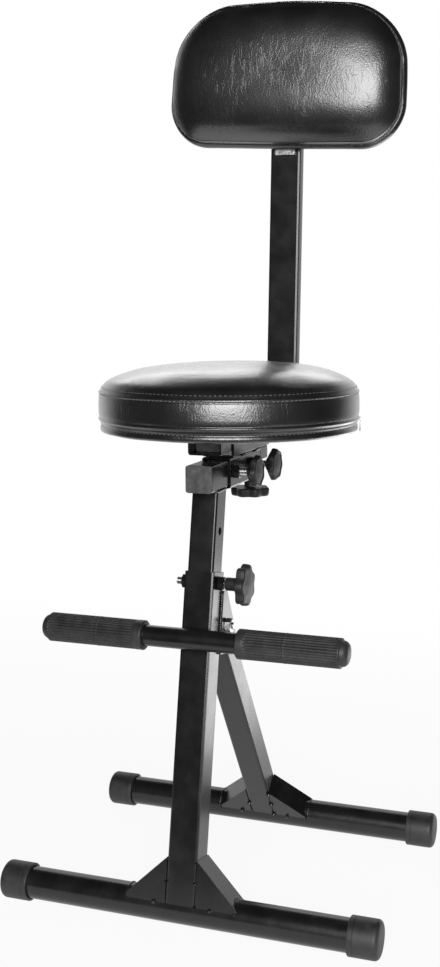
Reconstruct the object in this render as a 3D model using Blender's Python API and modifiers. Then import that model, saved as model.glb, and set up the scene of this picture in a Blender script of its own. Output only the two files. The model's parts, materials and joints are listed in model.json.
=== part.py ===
"""Folding height-adjustable stool with a round padded seat, a footrest and a padded backrest.

Metres, +Z up. The front of the stool faces -Y and the right-hand clamp knobs face +X.
"""

import math

import bmesh
import bpy
from mathutils import Matrix, Vector

for old in list(bpy.data.objects):
    bpy.data.objects.remove(old, do_unlink=True)

# Clearances
GAP = 0.0003            # between pieces that are welded, screwed or pressed together
FIT = 0.0003            # sliding fit of a tube inside another, each side
HOLE_CLEAR = 0.0003     # radial play of a bolt or screw in its hole
STOP_GAP = 0.0004       # rear leg's end to the front leg in the open position

# Feet
FRONT_BAR_Y = -0.2136
BAR_SPACING = 0.3410
BAR_D = 0.0420
BAR_WALL = 0.0020
CAP_D = 0.0495
CAP_LEN = 0.0390
CAP_END = 0.0060
CAP_ROUND = 0.0060
FOOT_SPAN = 0.5110

# Front leg
LEG_LEAN = math.radians(10.6)
LEG_SIDE = 0.0400
LEG_WALL = 0.0022
LEG_LEN = 0.4290
TUBE_CORNER = 0.0030
GUSSET_RISE = 0.0660
GUSSET_REACH = 0.0740
GUSSET_TOE = 0.0140
REAR_GUSSET_REACH = 0.0690
GUSSET_SHEET = 0.0025

# Footrest
FOOTREST_BELOW_TOP = 0.0850
FOOTREST_D = 0.0270
FOOTREST_WALL = 0.0020
GRIP_D = 0.0376
GRIP_INNER = 0.0625
GRIP_SPAN = 0.4090
GRIP_END = 0.0100
GRIP_END_D = 0.0324
GRIP_RIBS = 30
GRIP_RIB_DEPTH = 0.0009

# Height lock
LOCK_BELOW_TOP = 0.0140
LOCK_SCREW_D = 0.0100
NUT_AF = 0.0170
NUT_T = 0.0080
STUD_OUT = 0.0165
INDEX_PITCH = 0.0665
INDEX_HOLES = 4

# Fold hinge
PIVOT_BELOW_TOP = 0.0690
PIVOT_BACK = 0.0295
PIVOT_BOLT_D = 0.0100
PIVOT_IN_REAR_LEG = 0.0075
EAR_T = 0.0030
EAR_FRONT = 0.0128
EAR_BACK = 0.0690
EAR_BELOW = 0.0370
EAR_ABOVE = 0.0450
BOLT_HEAD_T = 0.0064

# Rear leg
REAR_SIDE = 0.0350
REAR_WALL = 0.0020

# Seat post and head tube
POST_SIDE = LEG_SIDE - 2 * LEG_WALL - 2 * FIT
POST_WALL = 0.0020
POST_LOW_S = 0.1900
HEAD_Z = 0.5678
HEAD_FRONT = 0.0580
HEAD_LEN = 0.1740
PLUG_LIP = 0.0030
PLUG_DEEP = 0.0120

# Seat carrier
SLEEVE_WALL = 0.0022
SLEEVE_FRONT = 0.1237
SLEEVE_LEN = 0.1203
COLLAR_WALL = 0.0022
FRONT_COLLAR_Y = 0.0805
FRONT_COLLAR_LEN = 0.0372
REAR_COLLAR_Y = 0.1293
REAR_COLLAR_LEN = 0.1487
STRIP_T = 0.0070
BLOCK_H = 0.0178
BLOCK_LEN = 0.0334
SEAT_PLATE_X = 0.1300
SEAT_PLATE_Y = 0.2300
SEAT_PLATE_T = 0.0030
SEAT_SCREW_D = 0.0050
SEAT_SCREW_INSET = 0.0120

# Seat
SEAT_Y = 0.1735
SEAT_R = 0.1725
BOARD_T = 0.0120
BOARD_INSET = 0.0175
SEAT_SIDE = 0.0580
SEAT_CROWN = 0.0240
HEM_DROP = 0.0044
ZIP_PULL_T = 0.0014

# Clamp knobs
CLAMP_SCREW_D = 0.0100
CLAMP_NUT_T = 0.0100
CLAMP_UP = 0.0025
CLAMP_A_Y = 0.1330
CLAMP_B_Y = 0.2110
SMALL_STAR_D = 0.0440
SMALL_STAR_T = 0.0090
SMALL_STAR_OUT = 0.0480
BIG_STAR_D = 0.0550
BIG_STAR_T = 0.0120
BIG_STAR_OUT = 0.0490
LOW_STAR_DROP = 0.0400
LOW_HUB_LEN = 0.0200
STAR_LOBES = 7
STAR_SWING = 0.0022
HUB_D = 0.0170
HUB_LEN = 0.0070
LOCK_HUB_LEN = 0.0185

# Backrest
ARM_W = 0.0400
ARM_H = 0.0200
ARM_WALL = 0.0020
ARM_FRONT = 0.1050
BACK_Y = 0.4000
BACK_LEAN = math.radians(3.2)
BACK_POST_LEN = 0.5300
BRACKET_W = 0.0300
BRACKET_T = 0.0040
BRACKET_BELOW = 0.0070
BRACKET_LEN = 0.1500
PAD_BELOW_TOP = 0.0295
PAD_HALF_LOW = 0.1800
PAD_HALF_TOP = 0.1680
PAD_HALF_H = 0.1035
PAD_R_LOW = 0.0550
PAD_R_TOP = 0.0800
PAD_BOW = 0.0030
PAD_RIM = 0.0300
PAD_EDGE = 0.0110
PAD_CROWN = 0.0240
BACK_BOARD_T = 0.0090
BACK_BOARD_INSET = 0.0240
BACK_BOLT_D = 0.0060
BACK_BOLT_HEAD = 0.0040
BACK_BOLT_PITCH = 0.0500

# Derived levels and places
BAR_R = BAR_D / 2
CAP_R = CAP_D / 2
LOCK_S = LEG_LEN - LOCK_BELOW_TOP
PIVOT_S = LEG_LEN - PIVOT_BELOW_TOP
EAR_LOW = PIVOT_S - EAR_BELOW
EAR_TOP = PIVOT_S + EAR_ABOVE
FOOTREST_S = LEG_LEN - FOOTREST_BELOW_TOP
PAD_S = BACK_POST_LEN - PAD_BELOW_TOP
SLEEVE_SIDE = POST_SIDE + 2 * FIT + 2 * SLEEVE_WALL
REAR_COLLAR_Z = HEAD_Z + SLEEVE_SIDE / 2 + GAP
ARM_Z = REAR_COLLAR_Z + COLLAR_WALL + STRIP_T + 2 * GAP
FRONT_COLLAR_Z = ARM_Z - FIT - COLLAR_WALL
COLLAR_TOP = ARM_Z + ARM_H + FIT + COLLAR_WALL
COLLAR_W = ARM_W + 2 * FIT + 2 * COLLAR_WALL
PLATE_Z = COLLAR_TOP + GAP
BOARD_Z = PLATE_Z + SEAT_PLATE_T + GAP
BOARD_TOP = BOARD_Z + BOARD_T
LEG_BACK = LEG_SIDE / 2


def at(x, y, z):
    """A place given by its distance behind the front foot bar."""
    return Matrix.Translation((x, FRONT_BAR_Y + y, z))


def turn(angle, axis):
    return Matrix.Rotation(angle, 4, axis)


LEG = at(0, 0, CAP_R) @ turn(-LEG_LEAN, "X")
PIVOT = LEG @ Vector((0, PIVOT_BACK, PIVOT_S))
LOCK = LEG @ Vector((0, 0, LOCK_S))
REAR_BAR = Vector((0, FRONT_BAR_Y + BAR_SPACING, CAP_R))
PIVOT_OFF = REAR_SIDE / 2 - PIVOT_IN_REAR_LEG
REAR_SPAN = (PIVOT - REAR_BAR).length
REAR_LEAN = math.atan2(REAR_BAR.y - PIVOT.y, PIVOT.z - REAR_BAR.z) - math.asin(PIVOT_OFF / REAR_SPAN)
REAR = Matrix.Translation(REAR_BAR) @ turn(REAR_LEAN, "X")
BACK = at(0, BACK_Y, ARM_Z + ARM_H / 2) @ turn(-BACK_LEAN, "X")
PAD = BACK @ Matrix.Translation((0, -BRACKET_T - 2 * GAP, PAD_S))
ALONG_X = turn(math.pi / 2, "Y")
ALONG_Y = turn(-math.pi / 2, "X")
FACING_RIGHT = Matrix(((0, 0, 1, 0), (1, 0, 0, 0), (0, 1, 0, 0), (0, 0, 0, 1)))

# Collections, body empties and finishes
stool = bpy.data.collections.new("guitar_stool")
bpy.context.scene.collection.children.link(stool)
cutters = bpy.data.collections.new("cutters")
bpy.context.scene.collection.children.link(cutters)

clamp_z = HEAD_Z + CLAMP_UP
KNOB_C = Vector((0, FRONT_BAR_Y + REAR_COLLAR_Y + REAR_COLLAR_LEN - BLOCK_LEN / 2, HEAD_Z))
RIGS = {}
for rig_name, spot in (
    ("base", Vector((0, 0, 0))),
    ("rear_leg", PIVOT),
    ("seat_post", LOCK),
    ("height_knob", LOCK),
    ("seat_carrier", Vector((0, FRONT_BAR_Y + SLEEVE_FRONT, HEAD_Z))),
    ("knob_a", Vector((0, FRONT_BAR_Y + CLAMP_A_Y, clamp_z))),
    ("knob_b", Vector((0, FRONT_BAR_Y + CLAMP_B_Y, clamp_z))),
    ("knob_c", KNOB_C),
    ("backrest", Vector((0, FRONT_BAR_Y + BACK_Y, ARM_Z + ARM_H / 2))),
):
    rig = bpy.data.objects.new("rig_" + rig_name, None)
    rig.empty_display_size = 0.03
    rig.location = spot
    stool.objects.link(rig)
    RIGS[rig_name] = rig

FINISHES = {
    "powder_black": ((0.016, 0.016, 0.017), 0.42, 0.0),
    "plastic_black": ((0.020, 0.020, 0.021), 0.55, 0.0),
    "rubber_black": ((0.018, 0.018, 0.018), 0.75, 0.0),
    "zinc": ((0.62, 0.62, 0.60), 0.32, 1.0),
    "leather_black": ((0.012, 0.012, 0.013), 0.38, 0.0),
    "board_black": ((0.030, 0.030, 0.030), 0.85, 0.0),
    "nylon": ((0.30, 0.30, 0.29), 0.60, 0.0),
}
MATERIALS = {}
for finish_name, (colour, rough, metal) in FINISHES.items():
    made = bpy.data.materials.new(finish_name)
    made.use_nodes = True
    shader = made.node_tree.nodes["Principled BSDF"]
    shader.inputs["Base Color"].default_value = (*colour, 1.0)
    shader.inputs["Roughness"].default_value = rough
    shader.inputs["Metallic"].default_value = metal
    MATERIALS[finish_name] = made


# Building tools
def put(name, mesh, frame, finish, body):
    """Adds a mesh as a named piece of a body, which keeps its place under the body's empty."""
    obj = bpy.data.objects.new(name, mesh)
    stool.objects.link(obj)
    mesh.materials.clear()
    mesh.materials.append(MATERIALS[finish])
    obj.parent = RIGS[body]
    obj.matrix_parent_inverse = Matrix.Translation(RIGS[body].location).inverted()
    obj.matrix_basis = frame
    return obj


def rect(width, height, corner=0.0, steps=2):
    """A rounded rectangle about the origin."""
    if corner <= 0:
        half_w, half_h = width / 2, height / 2
        return [(half_w, half_h), (-half_w, half_h), (-half_w, -half_h), (half_w, -half_h)]
    points = []
    for k, (sx, sy) in enumerate(((1, 1), (-1, 1), (-1, -1), (1, -1))):
        cx = sx * (width / 2 - corner)
        cy = sy * (height / 2 - corner)
        for i in range(steps + 1):
            a = (k + i / steps) * math.pi / 2
            points.append((cx + corner * math.cos(a), cy + corner * math.sin(a)))
    return points


def circle(radius, count=20, centre=(0.0, 0.0)):
    turns = [2 * math.pi * i / count for i in range(count)]
    return [(centre[0] + radius * math.cos(a), centre[1] + radius * math.sin(a)) for a in turns]


def hexagon(across_flats):
    return circle(across_flats / math.sqrt(3), 6)


def rounded(corners, radii, steps):
    """A polygon, counter-clockwise, with each corner turned to an arc."""
    points = []
    count = len(corners)
    for i in range(count):
        here = Vector(corners[i])
        before = (Vector(corners[i - 1]) - here).normalized()
        after = (Vector(corners[(i + 1) % count]) - here).normalized()
        half = before.angle(after) / 2
        centre = here + (before + after).normalized() * (radii[i] / math.sin(half))
        start = here + before * (radii[i] / math.tan(half)) - centre
        sweep = math.pi - 2 * half
        for k in range(steps + 1):
            a = sweep * k / steps
            turned_by = Vector(
                (start.x * math.cos(a) - start.y * math.sin(a), start.x * math.sin(a) + start.y * math.cos(a))
            )
            points.append(tuple(centre + turned_by))
    return points


def sheet_mesh(name, loops, thickness, bevel=0.0):
    """A flat outline of one or more loops, filled and given a thickness about its own plane."""
    curve = bpy.data.curves.new(name + "_outline", "CURVE")
    curve.dimensions = "2D"
    curve.fill_mode = "BOTH"
    curve.extrude = thickness / 2 - bevel
    curve.bevel_depth = bevel
    curve.offset = -bevel
    curve.bevel_resolution = 1
    for loop in loops:
        spline = curve.splines.new("POLY")
        spline.points.add(len(loop) - 1)
        for point, (x, y) in zip(spline.points, loop):
            point.co = (x, y, 0, 1)
        spline.use_cyclic_u = True
    holder = bpy.data.objects.new(name + "_outline", curve)
    bpy.context.scene.collection.objects.link(holder)
    bpy.context.view_layer.update()
    mesh = bpy.data.meshes.new_from_object(holder.evaluated_get(bpy.context.evaluated_depsgraph_get()))
    bpy.data.objects.remove(holder, do_unlink=True)
    bpy.data.curves.remove(curve)
    mesh.name = name
    form = bmesh.new()
    form.from_mesh(mesh)
    bmesh.ops.remove_doubles(form, verts=form.verts, dist=0.000005)
    bmesh.ops.recalc_face_normals(form, faces=form.faces)
    form.to_mesh(mesh)
    form.free()
    return mesh


def outline(name, loops, thickness, frame, finish, body, bevel=0.0):
    return put(name, sheet_mesh(name, loops, thickness, bevel), frame, finish, body)


def hollow(name, width, height, wall, low, high, frame, finish, body, corner=TUBE_CORNER):
    """A rectangular tube along its frame's Z axis from low to high."""
    inner = max(corner - wall, 0.0004)
    loops = [rect(width, height, corner), rect(width - 2 * wall, height - 2 * wall, inner)]
    middle = Matrix.Translation((0, 0, (low + high) / 2))
    return outline(name, loops, high - low, frame @ middle, finish, body)


def slant(obj, upper, level):
    """Moves the points of a tube's upper or lower end to a slanted level, a function of their x and y."""
    half = max(v.co.z for v in obj.data.vertices)
    for v in obj.data.vertices:
        if (v.co.z > half * 0.999) if upper else (v.co.z < -half * 0.999):
            v.co.z = level(v.co.x, v.co.y)


def turned(name, profile, frame, finish, body, steps=28, closed=False):
    """A profile of (radius, height), from the top down on the outer side, turned about its frame's Z axis."""
    mesh = bpy.data.meshes.new(name)
    count = len(profile)
    edges = [(i, i + 1) for i in range(count - 1)]
    if closed:
        edges.append((count - 1, 0))
    mesh.from_pydata([(r, 0, z) for r, z in profile], edges, [])
    obj = put(name, mesh, frame, finish, body)
    screw = obj.modifiers.new("turn", "SCREW")
    screw.axis = "Z"
    screw.angle = 2 * math.pi
    screw.steps = steps
    screw.render_steps = steps
    screw.use_merge_vertices = True
    screw.merge_threshold = 0.00005
    return obj


def pipe(name, outer, wall, low, high, frame, finish, body, steps=28):
    bore = outer / 2 - wall
    profile = [(outer / 2, high), (outer / 2, low), (bore, low), (bore, high)]
    return turned(name, profile, frame, finish, body, steps, closed=True)


def box(name, size, frame, finish, body, bevel=0.0):
    form = bmesh.new()
    bmesh.ops.create_cube(form, size=1.0, matrix=Matrix.Diagonal((*size, 1.0)))
    mesh = bpy.data.meshes.new(name)
    form.to_mesh(mesh)
    form.free()
    obj = put(name, mesh, frame, finish, body)
    if bevel:
        edge = obj.modifiers.new("edges", "BEVEL")
        edge.width = bevel
        edge.segments = 2
        edge.limit_method = "ANGLE"
    return obj


def rod(form, start, end, radius, sides=20):
    """Adds a closed cylinder between two points to a form."""
    axis = end - start
    place = Matrix.Translation((start + end) / 2) @ axis.to_track_quat("Z", "Y").to_matrix().to_4x4()
    bmesh.ops.create_cone(
        form, cap_ends=True, segments=sides, radius1=radius, radius2=radius, depth=axis.length, matrix=place
    )


def cut(obj, cutter, operation="DIFFERENCE"):
    modifier = obj.modifiers.new(cutter.name, "BOOLEAN")
    modifier.operation = operation
    modifier.solver = "EXACT"
    modifier.object = cutter
    cutter.hide_render = True
    cutter.display_type = "WIRE"
    for home in list(cutter.users_collection):
        home.objects.unlink(cutter)
    cutters.objects.link(cutter)


def drill(obj, holes, sides=16):
    """Bores round holes, each a start, an end and a radius in the world."""
    form = bmesh.new()
    for start, end, radius in holes:
        rod(form, Vector(start), Vector(end), radius, sides)
    mesh = bpy.data.meshes.new(obj.name + "_bores")
    form.to_mesh(mesh)
    form.free()
    body = obj.parent.name.removeprefix("rig_")
    cut(obj, put(obj.name + "_bores", mesh, Matrix.Identity(4), "zinc", body))


def across(point, half):
    """The two ends of a line along X through a point."""
    return (-half, point[1], point[2]), (half, point[1], point[2])


# Foot bars and caps
def foot(prefix, y, body):
    middle = at(0, y, CAP_R) @ ALONG_X
    tube_end = FOOT_SPAN / 2 - CAP_END - GAP
    bar = pipe(prefix + "_foot_bar", BAR_D, BAR_WALL, -tube_end, tube_end, middle, "powder_black", body, 36)
    socket = BAR_R + GAP
    arc = [math.pi / 2 * k / 3 for k in range(4)]
    dome = [
        (CAP_R - CAP_ROUND + CAP_ROUND * math.sin(a), CAP_LEN - CAP_ROUND + CAP_ROUND * math.cos(a)) for a in arc
    ]
    lip = 0.0012
    profile = [(0, CAP_LEN)] + dome + [(CAP_R, lip), (CAP_R - lip, 0), (socket, 0)]
    profile += [(socket, CAP_LEN - CAP_END), (0, CAP_LEN - CAP_END)]
    for side, sign in (("left", -1), ("right", 1)):
        rim = at(sign * (FOOT_SPAN / 2 - CAP_LEN), y, CAP_R) @ turn(sign * math.pi / 2, "Y")
        turned(f"{prefix}_cap_{side}", profile, rim, "rubber_black", body, 32)
    return bar


def gussets(prefix, frame, side, span, body):
    """Folded sheet boxes between a leg and its bar, open towards both."""
    start = side / 2 + GAP
    slope = math.atan2(GUSSET_RISE - GUSSET_TOE, span - start)
    inset = GUSSET_SHEET / math.cos(slope)
    end_drop = GUSSET_SHEET * math.tan(slope)
    low = 0.0
    for name, sign in (("left", -1), ("right", 1)):
        outer = [(start, low), (span, low), (span, GUSSET_TOE), (start, GUSSET_RISE)]
        reach = span - GUSSET_SHEET
        inner = [
            (start - GUSSET_SHEET, low - GUSSET_SHEET),
            (reach, low - GUSSET_SHEET),
            (reach, GUSSET_TOE - inset + end_drop),
            (start - GUSSET_SHEET, GUSSET_RISE - inset + end_drop),
        ]
        stand = frame @ turn(math.pi / 2, "X")
        loops = [[(sign * x, z) for x, z in loop] for loop in (outer, inner)]
        piece = outline(f"{prefix}_gusset_{name}", loops[:1], side, stand, "powder_black", body)
        room = outline(f"{prefix}_gusset_room_{name}", loops[1:], side - 2 * GUSSET_SHEET, stand, "zinc", body)
        cut(piece, room)
        bar_cutter(piece, frame)


def bar_cutter(obj, frame):
    """Notches a piece to sit on a foot bar that runs along X at the frame's origin."""
    form = bmesh.new()
    centre = frame.translation
    rod(form, centre - Vector((FOOT_SPAN, 0, 0)), centre + Vector((FOOT_SPAN, 0, 0)), BAR_R + GAP, 48)
    mesh = bpy.data.meshes.new(obj.name + "_notch")
    form.to_mesh(mesh)
    form.free()
    body = obj.parent.name.removeprefix("rig_")
    cut(obj, put(obj.name + "_notch", mesh, Matrix.Identity(4), "zinc", body))


foot("front", 0, "base")
foot("rear", BAR_SPACING, "rear_leg")

# Front leg
leg = hollow("front_leg_tube", LEG_SIDE, LEG_SIDE, LEG_WALL, 0, LEG_LEN, LEG, "powder_black", "base")
bar_cutter(leg, LEG)
drill(leg, [(*across(LOCK, LEG_SIDE), LOCK_SCREW_D / 2 + HOLE_CLEAR)])
gussets("front", LEG, LEG_SIDE, GUSSET_REACH, "base")

# Footrest
rest = LEG @ Vector((0, -LEG_BACK - FOOTREST_D / 2 - GAP, FOOTREST_S))
rest_half = GRIP_SPAN / 2 - GRIP_END - GAP
pipe(
    "footrest_bar", FOOTREST_D, FOOTREST_WALL, -rest_half, rest_half,
    Matrix.Translation(rest) @ ALONG_X, "powder_black", "base", 28,
)


def ribbed(radius, depth, ribs):
    """A round outline with rounded ribs, four points each."""
    points = []
    for i in range(4 * ribs):
        a = 2 * math.pi * i / (4 * ribs)
        points.append(((radius - depth * (i % 4 == 3)) * math.cos(a), (radius - depth * (i % 4 == 3)) * math.sin(a)))
    return points


def grip(side, sign):
    """A rubber grip: ribbed sleeve, plain rounded end, bored for the bar."""
    length = GRIP_SPAN / 2 - GRIP_INNER
    radius = GRIP_D / 2
    frame = Matrix.Translation(rest) @ Matrix.Translation((sign * GRIP_INNER, 0, 0)) @ turn(sign * math.pi / 2, "Y")
    straight = length - GRIP_END
    middle = frame @ Matrix.Translation((0, 0, straight / 2))
    piece = outline(
        f"footrest_grip_{side}", [ribbed(radius, GRIP_RIB_DEPTH, GRIP_RIBS)], straight, middle, "rubber_black", "base"
    )
    arc = [math.pi / 2 * k / 4 for k in range(5)]
    end_r = GRIP_END_D / 2
    dome = [(end_r - GRIP_END * (1 - math.sin(a)), length - GRIP_END * (1 - math.cos(a))) for a in arc]
    end = turned(
        f"footrest_grip_end_{side}", [(0, length)] + dome + [(end_r, straight - GRIP_END), (0, straight - GRIP_END)],
        frame, "rubber_black", "base", 32,
    )
    cut(piece, end, "UNION")
    inward = Vector((sign, 0, 0))
    mouth = rest + inward * (GRIP_INNER - GRIP_END)
    drill(piece, [(mouth, rest + inward * (rest_half + GAP), FOOTREST_D / 2 + GAP)], 28)


grip("left", -1)
grip("right", 1)

# Height lock nuts and thread end
nut_bore = circle(LOCK_SCREW_D / 2 + HOLE_CLEAR, 20)
for nut_name, sign in (("height_weld_nut", 1), ("height_flange_nut", -1)):
    spot = Matrix.Translation(LOCK + Vector((sign * (LEG_BACK + GAP + NUT_T / 2), 0, 0))) @ turn(-LEG_LEAN, "X")
    outline(nut_name, [hexagon(NUT_AF), nut_bore], NUT_T, spot @ ALONG_X, "powder_black", "base")
turned(
    "height_thread_end",
    [(0, STUD_OUT), (LOCK_SCREW_D / 2 - 0.001, STUD_OUT), (LOCK_SCREW_D / 2, STUD_OUT - 0.001)]
    + [(LOCK_SCREW_D / 2, -LEG_WALL / 2), (0, -LEG_WALL / 2)],
    Matrix.Translation(LOCK - Vector((LEG_BACK, 0, 0))) @ turn(-math.pi / 2, "Y"), "zinc", "base", 20,
)

# Hinge ears and pivot bolt
ear_corners = [
    (EAR_FRONT, EAR_LOW), (EAR_BACK, EAR_LOW), (EAR_BACK, PIVOT_S - 0.010), (EAR_FRONT + 0.014, EAR_TOP),
    (EAR_FRONT, EAR_TOP),
]
ear_loops = [
    rounded(ear_corners, [0.003, 0.010, 0.014, 0.006, 0.003], 4),
    circle(PIVOT_BOLT_D / 2 + HOLE_CLEAR, 20, (PIVOT_BACK, PIVOT_S)),
]
ear_x = LEG_BACK + GAP + EAR_T / 2
for side, sign in (("left", -1), ("right", 1)):
    outline(
        f"hinge_ear_{side}", ear_loops, EAR_T,
        Matrix.Translation((sign * ear_x, 0, 0)) @ LEG @ FACING_RIGHT, "powder_black", "base",
    )
ear_face = LEG_BACK + GAP + EAR_T + GAP
bolt_r = PIVOT_BOLT_D / 2
head_r = NUT_AF / math.sqrt(3)
bolt = turned(
    "pivot_bolt",
    [(0, ear_face + NUT_T + 0.003), (bolt_r - 0.001, ear_face + NUT_T + 0.003), (bolt_r, ear_face + NUT_T + 0.002)]
    + [(bolt_r, -ear_face), (NUT_AF / 2, -ear_face), (NUT_AF / 2, -ear_face - BOLT_HEAD_T + 0.001)]
    + [(NUT_AF / 2 - 0.0015, -ear_face - BOLT_HEAD_T), (0, -ear_face - BOLT_HEAD_T)],
    Matrix.Translation(PIVOT) @ ALONG_X, "zinc", "base", 24,
)
outline(
    "pivot_nut", [hexagon(NUT_AF), circle(bolt_r + HOLE_CLEAR, 20)], NUT_T,
    Matrix.Translation(PIVOT + Vector((ear_face + NUT_T / 2, 0, 0))) @ turn(0.35, "X") @ ALONG_X, "zinc", "base",
)

# Rear leg
rear_top = (PIVOT - REAR_BAR).length + REAR_SIDE
rear = hollow("rear_leg_tube", REAR_SIDE, REAR_SIDE, REAR_WALL, 0, rear_top, REAR, "powder_black", "rear_leg")
opening = LEG_LEAN + REAR_LEAN
stop_run = (REAR_BAR - LEG.translation).dot(LEG.to_3x3().col[1]) - LEG_BACK - STOP_GAP
slant(rear, True, lambda x, y: (stop_run + y * math.cos(opening)) / math.sin(opening) - rear_top / 2)
bar_cutter(rear, REAR)
drill(rear, [(*across(PIVOT, REAR_SIDE), PIVOT_BOLT_D / 2 + HOLE_CLEAR)])
gussets("rear", REAR, REAR_SIDE, REAR_GUSSET_REACH, "rear_leg")

# Seat post and head tube
post_frame = LEG
post_high = (HEAD_Z - CAP_R) / math.cos(LEG_LEAN)
post = hollow(
    "seat_post_tube", POST_SIDE, POST_SIDE, POST_WALL, POST_LOW_S, post_high, post_frame, "powder_black", "seat_post"
)
head_under = HEAD_Z - POST_SIDE / 2 - GAP
slant(
    post, True,
    lambda x, y: (head_under - CAP_R + y * math.sin(LEG_LEAN)) / math.cos(LEG_LEAN) - (post_high + POST_LOW_S) / 2,
)
index_spots = [LEG @ Vector((0, 0, LOCK_S + INDEX_PITCH * (1 - k))) for k in range(INDEX_HOLES)]
drill(post, [(*across(spot, LEG_SIDE), LOCK_SCREW_D / 2 + HOLE_CLEAR) for spot in index_spots])
hollow(
    "head_tube", POST_SIDE, POST_SIDE, POST_WALL, HEAD_FRONT + PLUG_LIP + GAP, HEAD_FRONT + HEAD_LEN,
    at(0, 0, HEAD_Z) @ ALONG_Y, "powder_black", "seat_post",
)


def plug(name, width, height, wall, frame, body):
    """An end plug that faces along its frame's Z axis: a lip over the tube's end and a stub inside it."""
    lip = outline(
        name, [rect(width, height, TUBE_CORNER)], PLUG_LIP, frame @ Matrix.Translation((0, 0, PLUG_LIP / 2)),
        "plastic_black", body, 0.0006,
    )
    deep = PLUG_DEEP + PLUG_LIP / 2
    stub = outline(
        name + "_stub", [rect(width - 2 * wall - 2 * GAP, height - 2 * wall - 2 * GAP, TUBE_CORNER / 3)], deep,
        frame @ Matrix.Translation((0, 0, PLUG_LIP / 2 - deep / 2)), "plastic_black", body,
    )
    cut(lip, stub, "UNION")


plug(
    "head_plug", POST_SIDE, POST_SIDE, POST_WALL,
    at(0, HEAD_FRONT + PLUG_LIP, HEAD_Z) @ turn(math.pi / 2, "X"), "seat_post",
)


# Star knobs
def star(name, diameter, thick, hub_len, screw_d, frame, body):
    """A lobed grip whose hub starts at the frame's origin and whose outer face lies along +Z, bored for its screw."""
    middle = diameter / 2 - STAR_SWING
    count = STAR_LOBES * 6
    turns = [2 * math.pi * i / count for i in range(count)]
    lobes = [middle + STAR_SWING * math.cos(STAR_LOBES * a) for a in turns]
    loop = [(r * math.cos(a), r * math.sin(a)) for r, a in zip(lobes, turns)]
    piece = outline(
        name, [loop], thick, frame @ Matrix.Translation((0, 0, hub_len + thick / 2)), "plastic_black", body, 0.002
    )
    hub = turned(
        name + "_hub",
        [(0, hub_len + thick / 2), (HUB_D / 2, hub_len + thick / 2), (HUB_D / 2, 0.001), (HUB_D / 2 - 0.001, 0), (0, 0)],
        frame, "plastic_black", body, 20,
    )
    cut(piece, hub, "UNION")
    out = frame.to_3x3().col[2]
    start = frame.translation
    drill(piece, [(start - out * 0.01, start + out * (hub_len + thick / 2), screw_d / 2 + GAP)])


def knob(name, diameter, thick, hub_len, screw_d, inner, outer, frame, body):
    """A star grip and its screw along the frame's Z axis; the screw runs from inner to the hub, which starts at outer."""
    star(name + "_grip", diameter, thick, hub_len, screw_d, frame @ Matrix.Translation((0, 0, outer)), body)
    r = screw_d / 2
    end = outer + hub_len + thick / 2 - GAP
    turned(
        name + "_screw", [(0, end), (r, end), (r, inner + 0.0015), (r - 0.0015, inner), (0, inner)],
        frame, "zinc", body, 16,
    )


knob(
    "height_knob", BIG_STAR_D, BIG_STAR_T, LOCK_HUB_LEN, LOCK_SCREW_D, POST_SIDE / 2 + FIT,
    BIG_STAR_OUT - LOCK_HUB_LEN, Matrix.Translation(LOCK) @ ALONG_X, "height_knob",
)
for label, y in (("knob_a", CLAMP_A_Y), ("knob_b", CLAMP_B_Y)):
    knob(
        label, SMALL_STAR_D, SMALL_STAR_T, HUB_LEN, CLAMP_SCREW_D, POST_SIDE / 2 + FIT,
        SMALL_STAR_OUT - HUB_LEN, at(0, y, clamp_z) @ ALONG_X, label,
    )

# Seat carrier
sleeve = hollow(
    "seat_sleeve", SLEEVE_SIDE, SLEEVE_SIDE, SLEEVE_WALL, SLEEVE_FRONT, SLEEVE_FRONT + SLEEVE_LEN,
    at(0, 0, HEAD_Z) @ ALONG_Y, "powder_black", "seat_carrier",
)
screw_hole = CLAMP_SCREW_D / 2 + HOLE_CLEAR
clamp_spots = [Vector((0, FRONT_BAR_Y + y, clamp_z)) for y in (CLAMP_A_Y, CLAMP_B_Y)]
drill(sleeve, [(spot, spot + Vector((SLEEVE_SIDE, 0, 0)), screw_hole) for spot in clamp_spots])
for label, spot in zip(("clamp_nut_a", "clamp_nut_b"), clamp_spots):
    outline(
        label, [hexagon(NUT_AF), circle(screw_hole, 20)], CLAMP_NUT_T,
        Matrix.Translation(spot + Vector((SLEEVE_SIDE / 2 + GAP + CLAMP_NUT_T / 2, 0, 0))) @ ALONG_X,
        "powder_black", "seat_carrier",
    )

rear_collar_h = COLLAR_TOP - REAR_COLLAR_Z
rear_collar = hollow(
    "rear_collar", COLLAR_W, rear_collar_h, COLLAR_WALL, REAR_COLLAR_Y, REAR_COLLAR_Y + REAR_COLLAR_LEN,
    at(0, 0, (COLLAR_TOP + REAR_COLLAR_Z) / 2) @ ALONG_Y, "powder_black", "seat_carrier",
)
front_collar_h = COLLAR_TOP - FRONT_COLLAR_Z
hollow(
    "front_collar", COLLAR_W, front_collar_h, COLLAR_WALL, FRONT_COLLAR_Y, FRONT_COLLAR_Y + FRONT_COLLAR_LEN,
    at(0, 0, (COLLAR_TOP + FRONT_COLLAR_Z) / 2) @ ALONG_Y, "powder_black", "seat_carrier",
)
block_top = REAR_COLLAR_Z - GAP
block = box(
    "clamp_block", (SLEEVE_SIDE, BLOCK_LEN, BLOCK_H),
    Matrix.Translation((KNOB_C.x, KNOB_C.y, block_top - BLOCK_H / 2)), "powder_black", "seat_carrier", 0.0015,
)
strip_len = REAR_COLLAR_LEN - 0.004
strip = box(
    "arm_slide_strip", (ARM_W - 0.004, strip_len, STRIP_T),
    at(0, REAR_COLLAR_Y + REAR_COLLAR_LEN / 2, ARM_Z - GAP - STRIP_T / 2), "nylon", "seat_carrier",
)
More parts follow.
